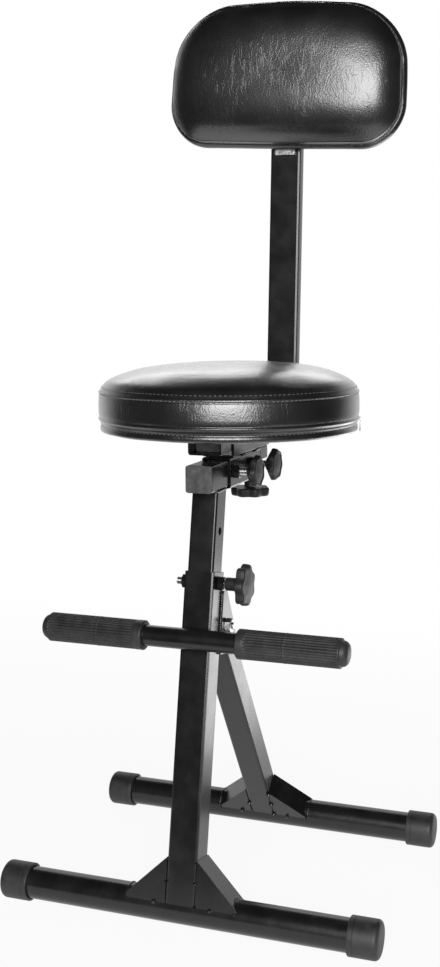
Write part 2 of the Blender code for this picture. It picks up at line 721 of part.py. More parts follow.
shaft = [(KNOB_C - Vector((0, 0, SLEEVE_SIDE)), Vector((KNOB_C.x, KNOB_C.y, ARM_Z)), screw_hole)]
for piece in (block, rear_collar, strip):
    drill(piece, shaft)
low_star = block_top - BLOCK_H - LOW_STAR_DROP
knob(
    "knob_c", BIG_STAR_D, BIG_STAR_T, LOW_HUB_LEN, CLAMP_SCREW_D, -(ARM_Z - FIT), -(low_star + LOW_HUB_LEN),
    Matrix.Translation((KNOB_C.x, KNOB_C.y, 0)) @ turn(math.pi, "X"), "knob_c",
)

# Seat plate, screws and board
plate_y = SEAT_Y
plate = outline(
    "seat_plate", [rect(SEAT_PLATE_X, SEAT_PLATE_Y, 0.012, 5)], SEAT_PLATE_T,
    at(0, plate_y, PLATE_Z + SEAT_PLATE_T / 2), "powder_black", "seat_carrier",
)
board = turned(
    "seat_board", [(0, BOARD_TOP), (SEAT_R - BOARD_INSET, BOARD_TOP), (SEAT_R - BOARD_INSET, BOARD_Z), (0, BOARD_Z)],
    at(0, SEAT_Y, 0), "board_black", "seat_carrier", 48,
)
screw_r = SEAT_SCREW_D / 2
screw_tip = BOARD_Z + BOARD_T * 0.75
screw_spots = [
    (sx * (SEAT_PLATE_X / 2 - SEAT_SCREW_INSET), SEAT_Y + sy * (SEAT_PLATE_Y / 2 - SEAT_SCREW_INSET))
    for sy in (-1, 1) for sx in (-1, 1)
]
bores = []
for number, (x, y) in enumerate(screw_spots, 1):
    spot = Vector((x, FRONT_BAR_Y + y, 0))
    bores.append(
        (spot + Vector((0, 0, PLATE_Z - 0.01)), spot + Vector((0, 0, screw_tip + GAP)), screw_r + HOLE_CLEAR)
    )
    under = PLATE_Z - GAP
    turned(
        f"seat_screw_{number}",
        [(0, screw_tip), (screw_r * 0.4, screw_tip), (screw_r, screw_tip - screw_r), (screw_r, under)]
        + [(screw_r * 2, under), (screw_r * 1.8, under - screw_r * 0.7), (screw_r, under - screw_r)]
        + [(0, under - screw_r)],
        Matrix.Translation(spot), "zinc", "seat_carrier", 16,
    )
drill(plate, bores, 16)
drill(board, bores, 16)

# Seat cushion: crown, edge seam, side, welt and hem, hollow below for the board
hem = BOARD_Z - HEM_DROP
seam = hem + SEAT_SIDE
welt = hem + 0.34 * SEAT_SIDE
room_r = SEAT_R - BOARD_INSET + 0.002
crown = [
    (SEAT_R * share, seam + 0.002 + SEAT_CROWN * (1 - share ** 3.6))
    for share in (0.0, 0.35, 0.6, 0.75, 0.86, 0.93)
]
edge = [
    (SEAT_R - 0.0065, seam + 0.0050), (SEAT_R - 0.0040, seam + 0.0018), (SEAT_R - 0.0042, seam),
    (SEAT_R - 0.0026, seam - 0.0020), (SEAT_R - 0.0004, (seam + welt) / 2), (SEAT_R - 0.0014, welt + 0.0024),
    (SEAT_R + 0.0002, welt + 0.0013), (SEAT_R + 0.0002, welt - 0.0013), (SEAT_R - 0.0018, welt - 0.0024),
    (SEAT_R - 0.0036, (welt + hem) / 2), (SEAT_R - 0.0070, hem + 0.0010), (SEAT_R - 0.0095, hem),
    (room_r + 0.002, hem), (room_r, hem + 0.002), (room_r, BOARD_TOP + GAP), (0, BOARD_TOP + GAP),
]
turned("seat_cushion", crown + edge, at(0, SEAT_Y, 0), "leather_black", "seat_carrier", 48)

# Zip pull, hanging at the right of the seat
zip_turn = math.radians(10.0)
box(
    "zip_pull", (ZIP_PULL_T, 0.0060, 0.0200),
    at(0, SEAT_Y, welt - 0.010) @ turn(zip_turn, "Z") @ Matrix.Translation((SEAT_R + GAP + ZIP_PULL_T / 2, 0, 0)),
    "zinc", "seat_carrier", 0.0004,
)

# Backrest arm and post
arm_len = BACK_Y - ARM_FRONT - GAP
arm = hollow(
    "back_arm_tube", ARM_W, ARM_H, ARM_WALL, ARM_FRONT, ARM_FRONT + arm_len,
    at(0, 0, ARM_Z + ARM_H / 2) @ ALONG_Y, "powder_black", "backrest",
)
slant(arm, True, lambda x, y: arm_len / 2 - y * math.tan(BACK_LEAN))
plug(
    "back_arm_plug", ARM_W, ARM_H, ARM_WALL, at(0, ARM_FRONT - GAP, ARM_Z + ARM_H / 2) @ turn(math.pi / 2, "X"),
    "backrest",
)
post_mid = BACK @ Matrix.Translation((0, ARM_H / 2, 0))
back_post = hollow(
    "back_post_tube", ARM_W, ARM_H, ARM_WALL, -ARM_H / 2, BACK_POST_LEN, post_mid, "powder_black", "backrest"
)
plug(
    "back_post_plug_top", ARM_W, ARM_H, ARM_WALL, post_mid @ Matrix.Translation((0, 0, BACK_POST_LEN + GAP)), "backrest"
)
plug(
    "back_post_plug_low", ARM_W, ARM_H, ARM_WALL,
    post_mid @ Matrix.Translation((0, 0, -ARM_H / 2 - GAP)) @ turn(math.pi, "X"), "backrest",
)

# Bracket, board and bolts of the pad
bracket_low = PAD_S - PAD_HALF_H - BRACKET_BELOW
bracket = box(
    "back_bracket", (BRACKET_W, BRACKET_T, BRACKET_LEN),
    BACK @ Matrix.Translation((0, -GAP - BRACKET_T / 2, bracket_low + BRACKET_LEN / 2)), "powder_black", "backrest",
    0.0006,
)


def pad_loop(inset, steps=8):
    corners = [
        (PAD_HALF_LOW - inset, -PAD_HALF_H + inset), (PAD_HALF_TOP - inset, PAD_HALF_H - inset),
        (-PAD_HALF_TOP + inset, PAD_HALF_H - inset), (-PAD_HALF_LOW + inset, -PAD_HALF_H + inset),
    ]
    radii = [PAD_R_LOW - inset, PAD_R_TOP - inset, PAD_R_TOP - inset, PAD_R_LOW - inset]
    return rounded(corners, radii, steps)


upright = turn(math.pi / 2, "X")
back_board = outline(
    "back_board", [pad_loop(BACK_BOARD_INSET)], BACK_BOARD_T,
    PAD @ Matrix.Translation((0, -BACK_BOARD_T / 2, 0)) @ upright, "board_black", "backrest",
)
bolt_low = PAD_S - PAD_HALF_H + 0.045
bolt_r6 = BACK_BOLT_D / 2
bolt_tip = -(BRACKET_T + 2 * GAP + BACK_BOARD_T * 0.8)
through = []
for number in (1, 2):
    place = BACK @ Matrix.Translation((0, 0, bolt_low + BACK_BOLT_PITCH * (number - 1))) @ ALONG_Y
    head_z = ARM_H + GAP
    turned(
        f"back_bolt_{number}",
        [(0, head_z + BACK_BOLT_HEAD), (bolt_r6 * 1.2, head_z + BACK_BOLT_HEAD), (bolt_r6 * 1.8, head_z + 0.001)]
        + [(bolt_r6 * 1.8, head_z), (bolt_r6, head_z), (bolt_r6, bolt_tip), (0, bolt_tip)],
        place, "zinc", "backrest", 16,
    )
    line = place.to_3x3().col[2]
    start = place.translation
    through.append((start + line * (bolt_tip - GAP), start + line * (ARM_H * 2), bolt_r6 + HOLE_CLEAR))
for piece in (back_post, bracket, back_board):
    drill(piece, through, 16)


def pad_sides(steps=16):
    """The pad's outline as right, top, left and lower runs, each from the middle of one corner to the next."""
    loop = [Vector(point) for point in pad_loop(0.0, steps)]
    runs = []
    for k in range(4):
        start = k * (steps + 1) + steps // 2
        runs.append([loop[(start + i) % len(loop)] for i in range(steps + 2)])
    return runs


def on_run(run, share):
    """The point a given share of the way along a run of points, bowed out a little halfway."""
    lengths = [(b - a).length for a, b in zip(run, run[1:])]
    left = share * sum(lengths)
    spot = run[-1]
    for a, b, length in zip(run, run[1:], lengths):
        if left <= length:
            spot = a.lerp(b, left / length)
            break
        left -= length
    chord = (run[-1] - run[0]).normalized()
    return spot + Vector((chord.y, -chord.x)) * PAD_BOW * math.sin(math.pi * share) ** 2


def pad_cushion():
    """A cube, divided and drawn out to the pad: rounded rim, crowned front, flat back."""
    form = bmesh.new()
    bmesh.ops.create_cube(form, size=2.0)
    bmesh.ops.subdivide_edges(form, edges=form.edges, cuts=11, use_grid_fill=True)
    right, top, left, low = pad_sides()
    for v in form.verts:
        u, w, t = v.co
        share = max(abs(u), abs(w))
        if share < 1e-6:
            place = Vector((0.0, 0.0))
        elif abs(u) >= abs(w):
            place = on_run(right, (w / u + 1) / 2) if u > 0 else on_run(left, (w / u + 1) / 2)
        else:
            place = on_run(top, (1 - u / w) / 2) if w > 0 else on_run(low, (1 - u / w) / 2)
        drawn_in = PAD_EDGE * (1 - math.sqrt(max(0.0, 1 - t * t)))
        place = place * share * (1 - drawn_in / max(place.length, 1e-6))
        swell = PAD_CROWN * (1 - share ** 2.4) if t > 0.999 else 0.0
        v.co = (place.x, place.y, PAD_RIM * (t + 1) / 2 + swell)
    mesh = bpy.data.meshes.new("back_cushion")
    form.to_mesh(mesh)
    form.free()
    return put("back_cushion", mesh, PAD @ upright, "leather_black", "backrest")


cushion = pad_cushion()
room = outline(
    "back_cushion_room", [pad_loop(BACK_BOARD_INSET - 0.001)], 2 * (BACK_BOARD_T + GAP), PAD @ upright, "zinc",
    "backrest",
)
cut(cushion, room)
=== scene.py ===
# %% [markdown]
# A folding stool for a guitar player: two steel legs that open like scissors, a post that slides
# in the front leg, a round padded seat, a footrest with rubber grips and a padded backrest.
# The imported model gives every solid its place, so the looks are built around it in metres,
# in the same frame: +Z is up, -Y is the player's front and +X is the side of the knobs.

# %% Load the frame
import json
import math

import bmesh
import bpy
import numpy as np
from mathutils import Matrix, Vector, noise

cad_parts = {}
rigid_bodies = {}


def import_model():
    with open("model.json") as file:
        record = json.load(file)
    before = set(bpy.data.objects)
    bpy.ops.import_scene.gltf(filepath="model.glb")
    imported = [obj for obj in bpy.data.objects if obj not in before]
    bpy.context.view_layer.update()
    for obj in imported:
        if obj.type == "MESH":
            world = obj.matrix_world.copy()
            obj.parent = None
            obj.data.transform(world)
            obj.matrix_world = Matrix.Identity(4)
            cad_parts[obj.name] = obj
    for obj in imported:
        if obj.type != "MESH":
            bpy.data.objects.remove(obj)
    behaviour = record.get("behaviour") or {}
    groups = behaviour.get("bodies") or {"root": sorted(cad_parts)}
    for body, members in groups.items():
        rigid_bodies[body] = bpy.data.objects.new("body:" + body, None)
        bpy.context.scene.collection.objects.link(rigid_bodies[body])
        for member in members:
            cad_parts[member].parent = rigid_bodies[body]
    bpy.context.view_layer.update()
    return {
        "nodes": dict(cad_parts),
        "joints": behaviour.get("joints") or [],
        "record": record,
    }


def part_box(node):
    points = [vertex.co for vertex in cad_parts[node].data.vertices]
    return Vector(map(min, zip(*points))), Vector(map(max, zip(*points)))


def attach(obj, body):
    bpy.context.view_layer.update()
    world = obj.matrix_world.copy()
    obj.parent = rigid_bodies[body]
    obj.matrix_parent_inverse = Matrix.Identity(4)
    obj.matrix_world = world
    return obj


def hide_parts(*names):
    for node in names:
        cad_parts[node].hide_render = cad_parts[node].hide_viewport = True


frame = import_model()
scene = bpy.context.scene

# %% [markdown]
# The camera comes first, because each later piece is judged through it. A photograph of a
# product is taken from a little above, with the tripod to one side. A camera could be placed by
# eye, but eight tube edges were enough to work out where it stood: 0.8 m above the floor,
# 1.65 m in front and 0.58 m to the right, turned 20 degrees to the left and 9 degrees down.

# %% Camera
IMAGE_W, IMAGE_H = 440, 967
FOCAL_PX = 1292.99
PRINCIPAL = (223.1, 489.4)
SENSOR_MM = 36.0
CAMERA_AT = (0.5762, -1.6518, 0.8028)
PAN, DIP, ROLL = 0.3482, 0.1530, -0.0038


def turn(angle, axis):
    return Matrix.Rotation(angle, 4, axis)


camera_data = bpy.data.cameras.new("camera")
camera_data.sensor_fit = "VERTICAL"
camera_data.sensor_height = SENSOR_MM
camera_data.lens = FOCAL_PX * SENSOR_MM / IMAGE_H
camera_data.shift_x = (IMAGE_W / 2 - PRINCIPAL[0]) / IMAGE_H
camera_data.shift_y = (PRINCIPAL[1] - IMAGE_H / 2) / IMAGE_H
camera = bpy.data.objects.new("camera", camera_data)
scene.collection.objects.link(camera)
camera.matrix_world = (
    Matrix.Translation(CAMERA_AT) @ turn(PAN, "Z") @ turn(math.pi / 2 - DIP, "X") @ turn(ROLL, "Z")
)
scene.camera = camera
print(f"camera: {camera_data.lens:.1f} mm lens")

# %% [markdown]
# Materials are node trees. One function turns the hex colours that people write down into the
# linear values that a shader wants, and one adds a node with its settings and links.
# Every pattern takes its scale from a size in millimetres: a texture's scale is cells per metre,
# so a cell of 2 mm is a scale of 500. No real finish is even, so in each one a pattern shifts
# the colour between two tones and mostly the roughness too, which is done in one place.

# %% Colour and node helpers
def linear(code):
    channels = [int(code[i:i + 2], 16) / 255 for i in (1, 3, 5)]
    return tuple(c / 12.92 if c <= 0.04045 else ((c + 0.055) / 1.055) ** 2.4 for c in channels) + (1.0,)


def per_mm(size):
    return 1000.0 / size


def add(tree, kind, sockets=None, into=(), **settings):
    """Adds a node: sockets maps its inputs to values, nodes or outputs, and into lists what it feeds."""
    made = tree.nodes.new("ShaderNode" + kind)
    for key, value in settings.items():
        setattr(made, key, value)
    for key, value in (sockets or {}).items():
        if isinstance(value, bpy.types.Node):
            value = value.outputs[0]
        if isinstance(value, bpy.types.NodeSocket):
            tree.links.new(value, made.inputs[key])
        else:
            made.inputs[key].default_value = value
    for socket in into:
        tree.links.new(made.outputs[0], socket)
    return made


FINISH = {}


def new_finish(name, slot, **constants):
    """A material with its constants set on its shader's own sockets, and a place for its patterns."""
    material = bpy.data.materials.new(name)
    material.use_nodes = True
    tree = material.node_tree
    shader = tree.nodes["Principled BSDF"]
    for key, value in constants.items():
        shader.inputs[key.replace("_", " ")].default_value = value
    FINISH[name] = (material, slot)
    print("finish:", name)
    return tree, shader, add(tree, "TexCoord").outputs["Object"]


def vary(tree, shader, pattern, tones, gloss=None, span=(0.35, 0.65)):
    """Lets a pattern shift a finish between two tones and, where given, two roughnesses."""
    tint = add(tree, "ValToRGB", {0: pattern}, [shader.inputs["Base Color"]])
    for stop, position, code in zip(tint.color_ramp.elements, span, tones):
        stop.position = position
        stop.color = linear(code)
    if gloss:
        reach = {0: pattern, 1: 0.3, 2: 0.7, 3: gloss[0], 4: gloss[1]}
        add(tree, "MapRange", reach, [shader.inputs["Roughness"]])


# %% [markdown]
# The tubes, bars and brackets are steel under black polyester powder coat. The powder melts and
# flows in the oven, so it covers evenly, rounds every edge and sets with a faint orange peel
# of ripples about 3 mm apart. The eye sees a satin sheen with soft, slightly broken reflections.

# %% Powder coat
tree, shader, spot = new_finish("powder_coat_satin", "powder_black", IOR=1.5)
cloud = add(tree, "TexNoise", {"Vector": spot, "Scale": per_mm(26), "Detail": 3.0})
peel = add(tree, "TexNoise", {"Vector": spot, "Scale": per_mm(3.2), "Detail": 1.0})
vary(tree, shader, cloud, ("#121213", "#191919"), gloss=(0.23, 0.29))
add(tree, "Bump", {"Height": peel, "Strength": 0.12, "Distance": 0.00012}, [shader.inputs["Normal"]])

# %% [markdown]
# Over a round weld the same coat flows together before it sets. It is thicker and glossier there,
# which gives the small white glints along the welds.

# %% Powder coat over welds
tree, shader, spot = new_finish("powder_coat_pooled", "powder_black", IOR=1.55)
flow = add(tree, "TexNoise", {"Vector": spot, "Scale": per_mm(4), "Detail": 2.0})
vary(tree, shader, flow, ("#161617", "#202021"), gloss=(0.07, 0.14))

# %% [markdown]
# The star grips are moulded polypropylene. The mould is spark-eroded, which leaves
# a fine grit on the plastic, so it looks matt with a broad, weak highlight. The true grit is
# finer than a pixel, so it is drawn at 1.6 mm.

# %% Moulded polypropylene
tree, shader, spot = new_finish("polypropylene_moulded", "plastic_black", IOR=1.49)
cloud = add(tree, "TexNoise", {"Vector": spot, "Scale": per_mm(18), "Detail": 2.0})
grit = add(tree, "TexNoise", {"Vector": spot, "Scale": per_mm(1.6), "Detail": 2.0})
vary(tree, shader, cloud, ("#1c1c1d", "#252526"))
add(tree, "MapRange", {0: grit, 1: 0.3, 2: 0.7, 3: 0.50, 4: 0.60}, [shader.inputs["Roughness"]])
add(tree, "Bump", {"Height": grit, "Strength": 0.35, "Distance": 0.0001}, [shader.inputs["Normal"]])

# %% [markdown]
# The end plugs are a softer, greyer plastic, polyethylene, with flow marks and scuffs from being
# hammered in. The scuffs are 12 mm across, and the dull surface spreads every reflection.

# %% Polyethylene plugs
tree, shader, spot = new_finish("polyethylene_plug", "plastic_black", IOR=1.51)
scuffs = add(tree, "TexNoise", {"Vector": spot, "Scale": per_mm(12), "Detail": 5.0, "Roughness": 0.65})
vary(tree, shader, scuffs, ("#303031", "#525253"), gloss=(0.62, 0.50))

# %% [markdown]
# The bar caps and the footrest grips are soft moulded rubber. Rubber takes dust and bloom, which
# scatter light, so its black is a little grey and its highlights are wide and dull.

# %% Moulded rubber
tree, shader, spot = new_finish("rubber_moulded", "rubber_black", IOR=1.52)
bloom = add(tree, "TexNoise", {"Vector": spot, "Scale": per_mm(14), "Detail": 4.0})
pores = add(tree, "TexNoise", {"Vector": spot, "Scale": per_mm(2.0), "Detail": 2.0})
vary(tree, shader, bloom, ("#1e1e1e", "#2b2b2c"), gloss=(0.46, 0.58))
add(tree, "Bump", {"Height": pores, "Strength": 0.25, "Distance": 0.0001}, [shader.inputs["Normal"]])

# %% [markdown]
# Screws, the pivot's nut, the backrest's bracket and the zip pull are steel with bright zinc plate.
# Tumbling in the plating barrel leaves a cool grey metal with soft, uneven gloss.

# %% Bright zinc plate
tree, shader, spot = new_finish("zinc_plate_bright", "zinc", Metallic=1.0)
spangle = add(tree, "TexNoise", {"Vector": spot, "Scale": per_mm(2.5), "Detail": 3.0})
vary(tree, shader, spangle, ("#b4b5b3", "#d0d1ce"), gloss=(0.26, 0.42))

# %% [markdown]
# Seat and backrest are covered in leatherette: cloth coated with black vinyl, embossed with a
# hide grain of cells about 1.2 mm across and sealed with a glossy lacquer. The grain is drawn
# at 2 mm so that it breaks the highlights as it does on the object. The lacquer is the
# shader's coat. Fine wavy creases run down the cover where it has been leaned on: the lines where
# a stretched noise passes its middle value, about 10 mm apart, and stronger in some patches.

# %% Leatherette
tree, shader, spot = new_finish(
    "leatherette_embossed", "leather_black", IOR=1.54, Coat_Weight=1.0, Coat_Roughness=0.24, Coat_IOR=1.62
)
cells = add(tree, "TexVoronoi", {"Vector": spot, "Scale": per_mm(2.0)}, feature="SMOOTH_F1")
cloud = add(tree, "TexNoise", {"Vector": spot, "Scale": per_mm(45), "Detail": 4.0})
down = add(tree, "Mapping", {"Vector": spot, "Scale": (per_mm(10), per_mm(10), per_mm(28))})
waves = add(tree, "TexNoise", {"Vector": down, "Scale": 1.0, "Detail": 3.0, "Distortion": 1.3})
middle = add(tree, "Math", {0: waves, 1: 0.5}, operation="SUBTRACT")
middle = add(tree, "Math", {0: middle}, operation="ABSOLUTE")
lines = add(tree, "MapRange", {0: middle, 1: 0.0, 2: 0.06, 3: 1.0, 4: 0.0})
patches = add(tree, "MapRange", {0: cloud, 1: 0.36, 2: 0.56, 3: 0.15, 4: 1.0})
creases = add(tree, "Math", {0: lines, 1: patches}, operation="MULTIPLY")
vary(tree, shader, cloud, ("#141415", "#1a1a1b"), gloss=(0.35, 0.41))
grain = add(tree, "Bump", {"Height": cells, "Strength": 0.40, "Distance": 0.00028})
add(
    tree, "Bump", {"Height": creases, "Strength": 0.40, "Distance": 0.00020, "Normal": grain},
    [shader.inputs["Normal"], shader.inputs["Coat Normal"]],
)

# %% [markdown]
# The seat is sewn with thick polyester thread in greys, whose lighter tones are partly a painted
# highlight for the glints on the stitches, and the boards' hidden sides carry a black spunbond dust
# cover, felted and dull, with bonding dots 2.5 mm apart. The strip under the backrest arm is plain nylon.

# %% Thread, dust cover and nylon
tree, shader, spot = new_finish(
    "polyester_thread", "leather_black", IOR=1.5, Roughness=0.55, Sheen_Weight=0.3
)
twist_and_glint = add(tree, "TexNoise", {"Vector": spot, "Scale": per_mm(1.2), "Detail": 2.0})
# The thread's grey is partly its own colour and partly painted highlight for the glints on the stitches.
vary(tree, shader, twist_and_glint, ("#343434", "#6c6c6a"))

tree, shader, spot = new_finish(
    "spunbond_dust_cover", "board_black", IOR=1.5, Roughness=0.9, Sheen_Weight=0.2
)
dots = add(tree, "TexVoronoi", {"Vector": spot, "Scale": per_mm(2.5), "Randomness": 0.15})
vary(tree, shader, dots, ("#161616", "#2c2c2c"), span=(0.2, 0.6))
add(tree, "Bump", {"Height": dots, "Strength": 0.4, "Distance": 0.0003}, [shader.inputs["Normal"]])

tree, shader, spot = new_finish("nylon_plain", "nylon", IOR=1.53, Roughness=0.5)
cloud = add(tree, "TexNoise", {"Vector": spot, "Scale": per_mm(9), "Detail": 3.0})
vary(tree, shader, cloud, ("#8d8d8a", "#9a9a97"))

# %% [markdown]
# Most shapes here are rings of points joined by a skin: a turned cap, a ribbed grip, a weld bead
# and even the cushions. One helper joins the rings and one turns the result into a piece that
# rides on its body. The shading is smooth, but edges sharper than an angle stay crisp.

# %% Rings, skins and pieces
def ring_faces(rows, count, base=0, close_first=True, close_last=True):
    """Faces between rings of equally many points, whose numbers start at base."""
    faces = []
    for here in range(base, base + (rows - 1) * count, count):
        for j in range(count):
            k = (j + 1) % count
            faces.append((here + j, here + k, here + count + k, here + count + j))
    if close_first:
        faces.append(tuple(range(base + count - 1, base - 1, -1)))
    if close_last:
        faces.append(tuple(range(base + (rows - 1) * count, base + rows * count)))
    return faces


def smooth(mesh, crease):
    mesh.shade_smooth()
    mesh.set_sharp_from_angle(angle=math.radians(crease))


def skin(name, rings, close_first=True, close_last=True, crease=38):
    """Joins rings of equally many points into one mesh, with its ends closed."""
    rings = np.asarray(rings, float)
    rows, count = rings.shape[:2]
    points = [tuple(p) for p in rings.reshape(-1, 3)]
    mesh = bpy.data.meshes.new(name)
    mesh.from_pydata(points, [], ring_faces(rows, count, 0, close_first, close_last))
    form = bmesh.new()
    form.from_mesh(mesh)
    bmesh.ops.recalc_face_normals(form, faces=form.faces)
    form.to_mesh(mesh)
    form.free()
    smooth(mesh, crease)
    return mesh


def piece(name, mesh, body, finish, *stands_for):
    """Makes a mesh a piece of the object that moves with a body and hides the nodes it stands for."""
    made = bpy.data.objects.new(name, mesh)
    scene.collection.objects.link(made)
    material, slot = FINISH[finish]
    mesh.materials.clear()
    mesh.materials.append(material)
    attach(made, body)
    for node in stands_for:
        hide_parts(node)
    return made


def placed(matrix, points):
    """Moves points, an array of any shape, by a matrix."""
    points = np.asarray(points, float)
    flat = points.reshape(-1, 3)
    grid = np.array(matrix)
    return (flat @ grid[:3, :3].T + grid[:3, 3]).reshape(points.shape)


BODY_OF = {node: body for body, nodes in frame["record"]["behaviour"]["bodies"].items() for node in nodes}
print("nodes that ride on a body:", len(BODY_OF))

# %% [markdown]
# Tubes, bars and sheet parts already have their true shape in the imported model, but it comes in
# flat facets. A copy with its points joined and its normals weighted by area shades like drawn
# tube: flat sides stay flat and the rounded corners roll over. A bevel breaks the cut ends.
# The bracket behind the backrest shines in the photograph, so it is plated instead of coated. The
# post there looks wider than its stock section, so its tube and plugs are stretched across.

# %% Dressed tubes and sheet parts
TUBE_EDGE, SHEET_EDGE, BOARD_EDGE = 0.0004, 0.0011, 0.0010
POST_WIDER = 1.14


def dressed(node, finish, break_edge=TUBE_EDGE):
    form = bmesh.new()
    form.from_mesh(frame["nodes"][node].data)
    bmesh.ops.remove_doubles(form, verts=form.verts, dist=0.00001)
    bmesh.ops.dissolve_limit(form, angle_limit=math.radians(0.5), verts=form.verts, edges=form.edges)
    mesh = bpy.data.meshes.new(node + "_dressed")
    form.to_mesh(mesh)
    form.free()
    smooth(mesh, 32)
    made = piece(node + "_dressed", mesh, BODY_OF[node], finish, node)
    edge = made.modifiers.new("broken edges", "BEVEL")
    edge.width = break_edge
    edge.segments = 2
    edge.limit_method = "ANGLE"
    edge.angle_limit = math.radians(50)
    weights = made.modifiers.new("flat sides", "WEIGHTED_NORMAL")
    weights.keep_sharp = True
    weights.weight = 90


STEEL = (
    "front_leg_tube front_foot_bar front_gusset_left front_gusset_right footrest_bar hinge_ear_left "
    "hinge_ear_right rear_leg_tube rear_foot_bar rear_gusset_left rear_gusset_right seat_post_tube "
    "head_tube seat_sleeve rear_collar front_collar clamp_block seat_plate back_arm_tube "
    "back_post_tube back_bracket"
).split()
PLUGS = "head_plug back_arm_plug back_post_plug_low back_post_plug_top".split()
BOARDS = ("seat_board", "back_board")
for node in STEEL:
    finish = "zinc_plate_bright" if node == "back_bracket" else "powder_coat_satin"
    dressed(node, finish, SHEET_EDGE if "gusset" in node else TUBE_EDGE)
for node in PLUGS:
    dressed(node, "polyethylene_plug", SHEET_EDGE)
for node in ("back_post_tube", "back_post_plug_low", "back_post_plug_top"):
    bpy.data.objects[node + "_dressed"].data.transform(Matrix.Diagonal((POST_WIDER, 1, 1, 1)))
for node in BOARDS:
    dressed(node, "spunbond_dust_cover", BOARD_EDGE)
dressed("arm_slide_strip", "nylon_plain")
print("dressed:", len(STEEL) + len(PLUGS) + len(BOARDS) + 1, "nodes")

# %% [markdown]
# The rubber caps are plain turned forms: a cup over the bar's end with a rounded rim, a shallow
# line near the mouth where the mould parts and a softly domed end. A profile turned about the
# bar's axis gives all of it.

# %% Bar caps
def circle(count):
    return np.linspace(0, 2 * np.pi, count, endpoint=False)


def ring_at(turns, radii, z):
    """A ring about Z with one radius and height, or with one of each for every angle."""
    return np.stack([radii * np.cos(turns), radii * np.sin(turns), np.broadcast_to(z, len(turns))], 1)


def rounded_corner(cx, cz, radius, start, end, steps=6):
    """Points of a profile on an arc about (cx, cz), with its angles in degrees."""
    angles = np.radians(np.linspace(start, end, steps))
    return [(cx + radius * math.cos(a), cz + radius * math.sin(a)) for a in angles]


def on_bar(node):
    """Radius and length of what is pushed onto a bar's end, and the place of its mouth, facing out."""
    low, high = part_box(node)
    mouth = (min(low.x, high.x, key=abs), (low.y + high.y) / 2, (low.z + high.z) / 2)
    out = turn((-1 if "left" in node else 1) * math.pi / 2, "Y")
    return (high.z - low.z) / 2, high.x - low.x, Matrix.Translation(mouth) @ out


def shaped(name, node, place, rows, finish, **how):
    """Rings, put in their place, as a piece that stands for a node and rides on its body."""
    return piece(name, skin(name, placed(place, rows), **how), BODY_OF[node], finish, node)


CAP_MOUTH_R = 0.0213
CAP_LIP, MOULD_LINE, CAP_DOME = 0.0014, 0.0005, 0.0062
CAPS = ("front_cap_left", "front_cap_right", "rear_cap_left", "rear_cap_right")
for node in CAPS:
    radius, length, place = on_bar(node)
    profile = [(CAP_MOUTH_R, 0.0030), (CAP_MOUTH_R, 0.0006), (CAP_MOUTH_R + 0.0006, 0.0)]
    profile += rounded_corner(radius - CAP_LIP, CAP_LIP, CAP_LIP, -90, 0)
    profile += [(radius, 0.0066), (radius - MOULD_LINE, 0.0071), (radius - MOULD_LINE, 0.0077)]
    profile += [(radius, 0.0082), (radius, length * 0.5), (radius, length - CAP_DOME)]
    profile += rounded_corner(radius - CAP_DOME, length - CAP_DOME, CAP_DOME, 5, 84, 8)
    profile += [(radius * 0.45, length + 0.0002), (0.0004, length + 0.0004)]
    rows = [ring_at(circle(72), r, z) for r, z in profile]
    shaped(node + "_rubber", node, place, rows, "rubber_moulded", close_first=False)
print("caps:", len(CAPS))

# %% [markdown]
# The footrest grips are like a bicycle's: a ribbed rubber sleeve with a plain ring at its inner
# mouth, a raised ring a third of the way out, and a dome that plugs the end. Ribs run along the
# grip, so the radius is a function of the angle and of the distance from the mouth.

# %% Footrest grips
RIBS, RIB_DEPTH = 30, 0.0009
RIBS_FROM, RIBS_SHORT, RIB_RUN_OUT = 0.0110, 0.0112, 0.0015
RING_AT, RING_HALF, RING_HIGH = 0.0625, 0.0009, 0.0003
GRIP_BORE_R, GRIP_DOME = 0.0139, 0.0095
MOUTH_RING, MOUTH_RING_HIGH = 0.0096, 0.0002
GRIP_STOPS = [
    0.0012, 0.0022, 0.0080, 0.0095, 0.0102, 0.0110, 0.0118, 0.0126, 0.016, 0.026, 0.036, 0.046, 0.056, 0.0595,
    0.0605, 0.0615, 0.0620, 0.0625, 0.0630, 0.0635, 0.0645, 0.0655, 0.070, 0.080, 0.092, 0.104, 0.114, 0.122,
]


def grip_radii(turns, z, length, radius):
    ends = (RIBS_FROM, length - RIBS_SHORT)
    ribbed = 1.0 if ends[0] < z < ends[1] else 0.0
    for end in ends:
        ribbed *= min(1.0, abs(z - end) / RIB_RUN_OUT)
    grooves = (0.5 - 0.5 * np.cos(RIBS * turns)) ** 2.2
    ring = RING_HIGH * math.exp(-(((z - RING_AT) / RING_HALF) ** 2))
    return radius - RIB_DEPTH * ribbed * grooves + ring


for node in ("footrest_grip_left", "footrest_grip_right"):
    radius, length, place = on_bar(node)
    turns = circle(RIBS * 8)
    sleeve_end = length - GRIP_DOME
    rows = [ring_at(turns, r, z) for r, z in (
        (GRIP_BORE_R, 0.004), (GRIP_BORE_R, 0.0002), (radius - 0.0012, 0.0)
    )]
    for z in GRIP_STOPS + [length - 0.0128, length - 0.0120, length - RIBS_SHORT, sleeve_end - 0.0006]:
        fuller = MOUTH_RING_HIGH if z < MOUTH_RING else 0.0
        rows.append(ring_at(turns, grip_radii(turns, z, length, radius + fuller), z))
    dome = [(radius - 0.0007, sleeve_end), (radius - 0.0024, sleeve_end + 0.0001)]
    dome += [(radius - 0.0027, sleeve_end + 0.0004)]
    dome += rounded_corner(radius - 0.0110, length - 0.0083, 0.0083, 8, 82, 8)
    dome += [(0.004, length + 0.0003), (0.0004, length + 0.0004)]
    rows += [ring_at(turns, r, z) for r, z in dome]
    shaped(node + "_ribbed", node, place, rows, "rubber_moulded", close_first=False, crease=50)
print("grips:", RIBS, "ribs each")

